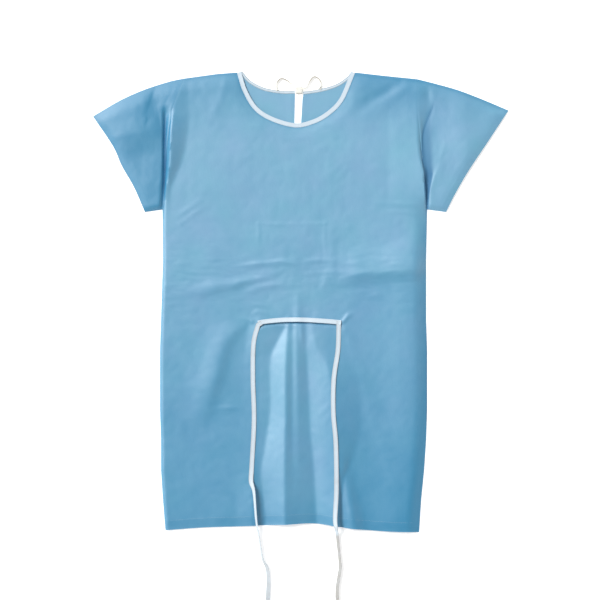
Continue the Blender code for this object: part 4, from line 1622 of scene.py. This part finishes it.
class GOWN_OT_neck_bow(bpy.types.Operator):
    """Makes the bow at the nape: its knot and its two loops"""

    bl_idname = "gown.neck_bow"
    bl_label = "Neck bow"

    def execute(self, context):
        for side, points in (("left", LEFT_LOOP), ("right", RIGHT_LOOP)):
            line = curve_through(points, 60)
            base = np.full(len(line), 0.0001)
            piece = tape_piece(
                f"gown_neck_loop_{side}", line, line[:, 2], base, 0.0065, 0.0028, bow_tape(),
                [f"neck_loop_{side}"],
            )
            # Painted shade on the loops, growing towards their tops, carried by the across attribute
            heights = np.repeat(line[:, 1], len(TAPE_SECTION))
            shaded = np.clip((heights - 0.5680) / 0.0130, 0, 1) ** 0.5
            piece.data.attributes["across"].data.foreach_set("value", (0.5 + shaded / 2).astype(np.float32))
        self.knot()
        return {"FINISHED"}

    def knot(self):
        low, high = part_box("neck_knot")
        centre = (low + high) / 2
        bm = bmesh.new()
        bmesh.ops.create_uvsphere(bm, u_segments=40, v_segments=24, radius=1)
        for vert in bm.verts:
            direction = vert.co.normalized()
            square = max(abs(c) for c in direction)
            form = direction * (0.45 + 0.55 / square)
            wrap = 0.04 * math.sin(9 * direction.y + 3 * direction.x)
            vert.co = Vector([c * (1 + wrap) * (b - a) / 2 for c, a, b in zip(form, low, high)]) + centre
            vert.co.z = max(vert.co.z, low.z)
        piece = finish_piece("gown_neck_knot", bm, bow_tape(), ["neck_knot"])
        places = vertex_places(piece)
        set_attribute(piece, "along", places[:, 1])
        # Painted shade on the knot's low side, carried by the across attribute
        lowness = np.clip((low.y + 0.006 - places[:, 1]) / 0.005, 0, 1)
        set_attribute(piece, "across", 0.5 + lowness / 2)


class GOWN_OT_waist_tape(bpy.types.Operator):
    """Makes the tape sewn across the front at the waist"""

    bl_idname = "gown.waist_tape"
    bl_label = "Waist tape"

    def execute(self, context):
        size = sizes()
        line = curve_through(WAIST_TAPE, 70)
        turns = line[:, 2]
        base = softened(height_below(line, turns, size.tape), 3)
        tape_piece(
            "gown_waist_tape", line, turns, base, size.tape, size.tape_thickness * 1.6, white_tape(), ["waist_tape"]
        )
        return {"FINISHED"}


class GOWN_OT_waist_ties(bpy.types.Operator):
    """Makes the waist tape's two free ends"""

    bl_idname = "gown.waist_ties"
    bl_label = "Waist ties"

    def execute(self, context):
        size = sizes()
        for side, points in (("left", LEFT_TIE), ("right", RIGHT_TIE)):
            line = curve_through(points, TIE_STATIONS)
            turns = line[:, 2]
            base = softened(height_below(line, turns, size.tape), 6)
            on_tape = np.linspace(0, 1, len(line)) < 0.014
            base = softened(base + on_tape * size.tape_thickness * 1.7, 3)
            piece = tape_piece(
                f"gown_waist_tie_{side}", line, turns, base, size.tape, size.tape_thickness, tie_tape(),
                [f"waist_tie_{side}"],
            )
            # Painted shade on the ties: full on their face past the hem, and a band of it along their edges, carried
            # by the across attribute
            past_hem = np.clip((TIE_SHADE_STARTS - line[:, 1]) / 0.012, 0, 1) * TIE_SHADE[side]
            edges = np.abs([share for share, _ in TAPE_SECTION]) * TIE_EDGE_SHADE
            shade = np.maximum(edges[None, :], past_hem[:, None]).ravel()
            piece.data.attributes["across"].data.foreach_set("value", (0.5 + shade / 2).astype(np.float32))
            middle = base + np.abs(np.sin(np.radians(turns))) * size.tape / 2 + size.tape_thickness / 2
        return {"FINISHED"}


class GOWN_OT_stitching(bpy.types.Operator):
    """Sews the binding, the waist tape and the hems"""

    bl_idname = "gown.stitching"
    bl_label = "Stitching"

    def execute(self, context):
        size = sizes()
        neck = curve_through(FRONT_NECK, 160)
        neck_edge = moved_sideways(neck, -(size.binding / 2 - 0.0016))
        cloth_edge = moved_sideways(neck, -size.binding / 2)
        self.row("gown_stitch_neck", neck_edge, front_height(cloth_edge[:, 0], cloth_edge[:, 1]) + 0.0007)
        tape = curve_through(WAIST_TAPE, 90)
        for name, offset in (("upper", 0.0042), ("lower", -0.0042)):
            edge = moved_sideways(tape, offset)
            turns = tape[:, 2]
            height = softened(height_below(tape, turns, size.tape), 3) + size.tape_thickness * 1.55
            height += (size.tape / 2 - offset) * np.sin(np.radians(turns))
            self.row(f"gown_stitch_waist_{name}", edge, height)
        hem = smooth_hem()
        hem[:, 1] += size.hem - 0.003
        self.row("gown_stitch_hem", hem[1:-1], front_height(hem[1:-1, 0], hem[1:-1, 1]))
        return {"FINISHED"}

    def row(self, name, line, height):
        """A row of stitches along a line in plan, at the given heights."""
        size = sizes()
        path = np.column_stack([line[:, :2], height])
        run = np.concatenate([[0], np.cumsum(np.linalg.norm(np.diff(path, axis=0), axis=1))])
        places = np.arange(size.stitch_pitch, run[-1] - size.stitch_pitch, size.stitch_pitch)
        bm = bmesh.new()
        for place in places:
            start, end = (
                Vector([np.interp(place + offset, run, column) for column in path.T])
                for offset in (-size.stitch / 2, size.stitch / 2)
            )
            middle = (start + end) / 2
            turn = (end - start).to_track_quat("Z", "Y").to_matrix().to_4x4()
            bmesh.ops.create_cone(
                bm,
                cap_ends=True,
                segments=6,
                radius1=size.thread / 2,
                radius2=size.thread / 2,
                depth=size.stitch,
                matrix=Matrix.Translation(middle) @ turn,
            )
        return finish_piece(name, bm, thread_finish())


class GOWN_OT_stage(bpy.types.Operator):
    """Makes the surface, the lights and the camera"""

    bl_idname = "gown.stage"
    bl_label = "Stage"

    def execute(self, context):
        stage = context.scene.gown_stage
        self.floor()
        self.key_light(stage)
        self.sky(stage)
        self.camera(stage)
        context.scene.view_settings.view_transform = "Standard"
        return {"FINISHED"}

    def floor(self):
        bm = bmesh.new()
        bmesh.ops.create_circle(bm, cap_ends=True, segments=64, radius=14)
        bmesh.ops.translate(bm, vec=(0, 0, -0.0002), verts=bm.verts)
        mesh = bpy.data.meshes.new("surface")
        bm.to_mesh(mesh)
        bm.free()
        shader = Shader("pale surface")
        grain = shader.noise(5.0, 2.0)
        pale = tuple(colours().floor)
        finish = shader.finish(
            shader.mix(grain * 0.1, pale, tuple(c * 0.95 for c in pale)),
            0.8,
            Emission_Color=(1.0, 1.0, 1.0, 1.0),
            Emission_Strength=bpy.context.scene.gown_stage.glow,
        )
        mesh.materials.append(finish)
        surface = bpy.data.objects.new("surface", mesh)
        bpy.context.scene.collection.objects.link(surface)

    def key_light(self, stage):
        light = bpy.data.lights.new("key", "SUN")
        light.angle = stage.softness
        light.energy = stage.key
        holder = bpy.data.objects.new("key", light)
        holder.location = (-1.90, 1.31, 2.31)
        aim = -holder.location
        holder.rotation_euler = aim.to_track_quat("-Z", "Y").to_euler()
        bpy.context.scene.collection.objects.link(holder)

    def sky(self, stage):
        world = bpy.data.worlds.new("studio")
        world.use_nodes = True
        nodes = world.node_tree.nodes
        background = nodes["Background"]
        background.inputs["Color"].default_value = (1.0, 1.0, 1.0, 1.0)
        split = nodes.new("ShaderNodeSeparateXYZ")
        ramp = nodes.new("ShaderNodeMapRange")
        ramp.inputs["To Min"].default_value = stage.horizon
        ramp.inputs["To Max"].default_value = stage.zenith
        links = world.node_tree.links
        links.new(nodes.new("ShaderNodeTexCoord").outputs["Generated"], split.inputs["Vector"])
        links.new(split.outputs["Z"], ramp.inputs["Value"])
        links.new(ramp.outputs["Result"], background.inputs["Strength"])
        bpy.context.scene.world = world

    def camera(self, stage):
        lens = bpy.data.cameras.new("camera")
        lens.sensor_width = 36.0
        lens.lens = lens.sensor_width * stage.camera_height / stage.picture
        holder = bpy.data.objects.new("camera", lens)
        holder.location = (-0.0020, 0.0040, stage.camera_height)
        bpy.context.scene.collection.objects.link(holder)
        bpy.context.scene.camera = holder


PIECES = (
    GOWN_OT_back,
    GOWN_OT_front,
    GOWN_OT_sleeves,
    GOWN_OT_neck_binding,
    GOWN_OT_neck_bow,
    GOWN_OT_waist_tape,
    GOWN_OT_waist_ties,
    GOWN_OT_stitching,
)


class GOWN_PT_panel(bpy.types.Panel):
    """Lists the gown's settings and the buttons that make its pieces"""

    bl_idname = "GOWN_PT_panel"
    bl_label = "Gown"
    bl_space_type = "VIEW_3D"
    bl_region_type = "UI"
    bl_category = "Gown"

    def draw(self, context):
        scene = context.scene
        for group in (scene.gown_sizes, scene.gown_colours, scene.gown_stage):
            box = self.layout.box()
            for name in group.bl_rna.properties.keys():
                if name not in ("rna_type", "name"):
                    box.prop(group, name)
        for operator in (GOWN_OT_stage,) + PIECES:
            self.layout.operator(operator.bl_idname)


CLASSES = (GownSizes, GownColours, GownStage, GOWN_OT_stage) + PIECES + (GOWN_PT_panel,)


def register():
    for cls in CLASSES:
        bpy.utils.register_class(cls)
    bpy.types.Scene.gown_sizes = PointerProperty(type=GownSizes)
    bpy.types.Scene.gown_colours = PointerProperty(type=GownColours)
    bpy.types.Scene.gown_stage = PointerProperty(type=GownStage)


def unregister():
    del bpy.types.Scene.gown_stage
    del bpy.types.Scene.gown_colours
    del bpy.types.Scene.gown_sizes
    for cls in reversed(CLASSES):
        bpy.utils.unregister_class(cls)


def corners(box):
    return [[round(value, 5) for value in corner] for corner in box]


def main():
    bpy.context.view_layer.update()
    register()
    bpy.ops.gown.stage()
    bpy.ops.gown.back()
    bpy.ops.gown.front()
    bpy.ops.gown.sleeves()
    bpy.ops.gown.neck_binding()
    bpy.ops.gown.neck_bow()
    bpy.ops.gown.waist_tape()
    bpy.ops.gown.waist_ties()
    bpy.ops.gown.stitching()


if __name__ == "__main__":
    main()
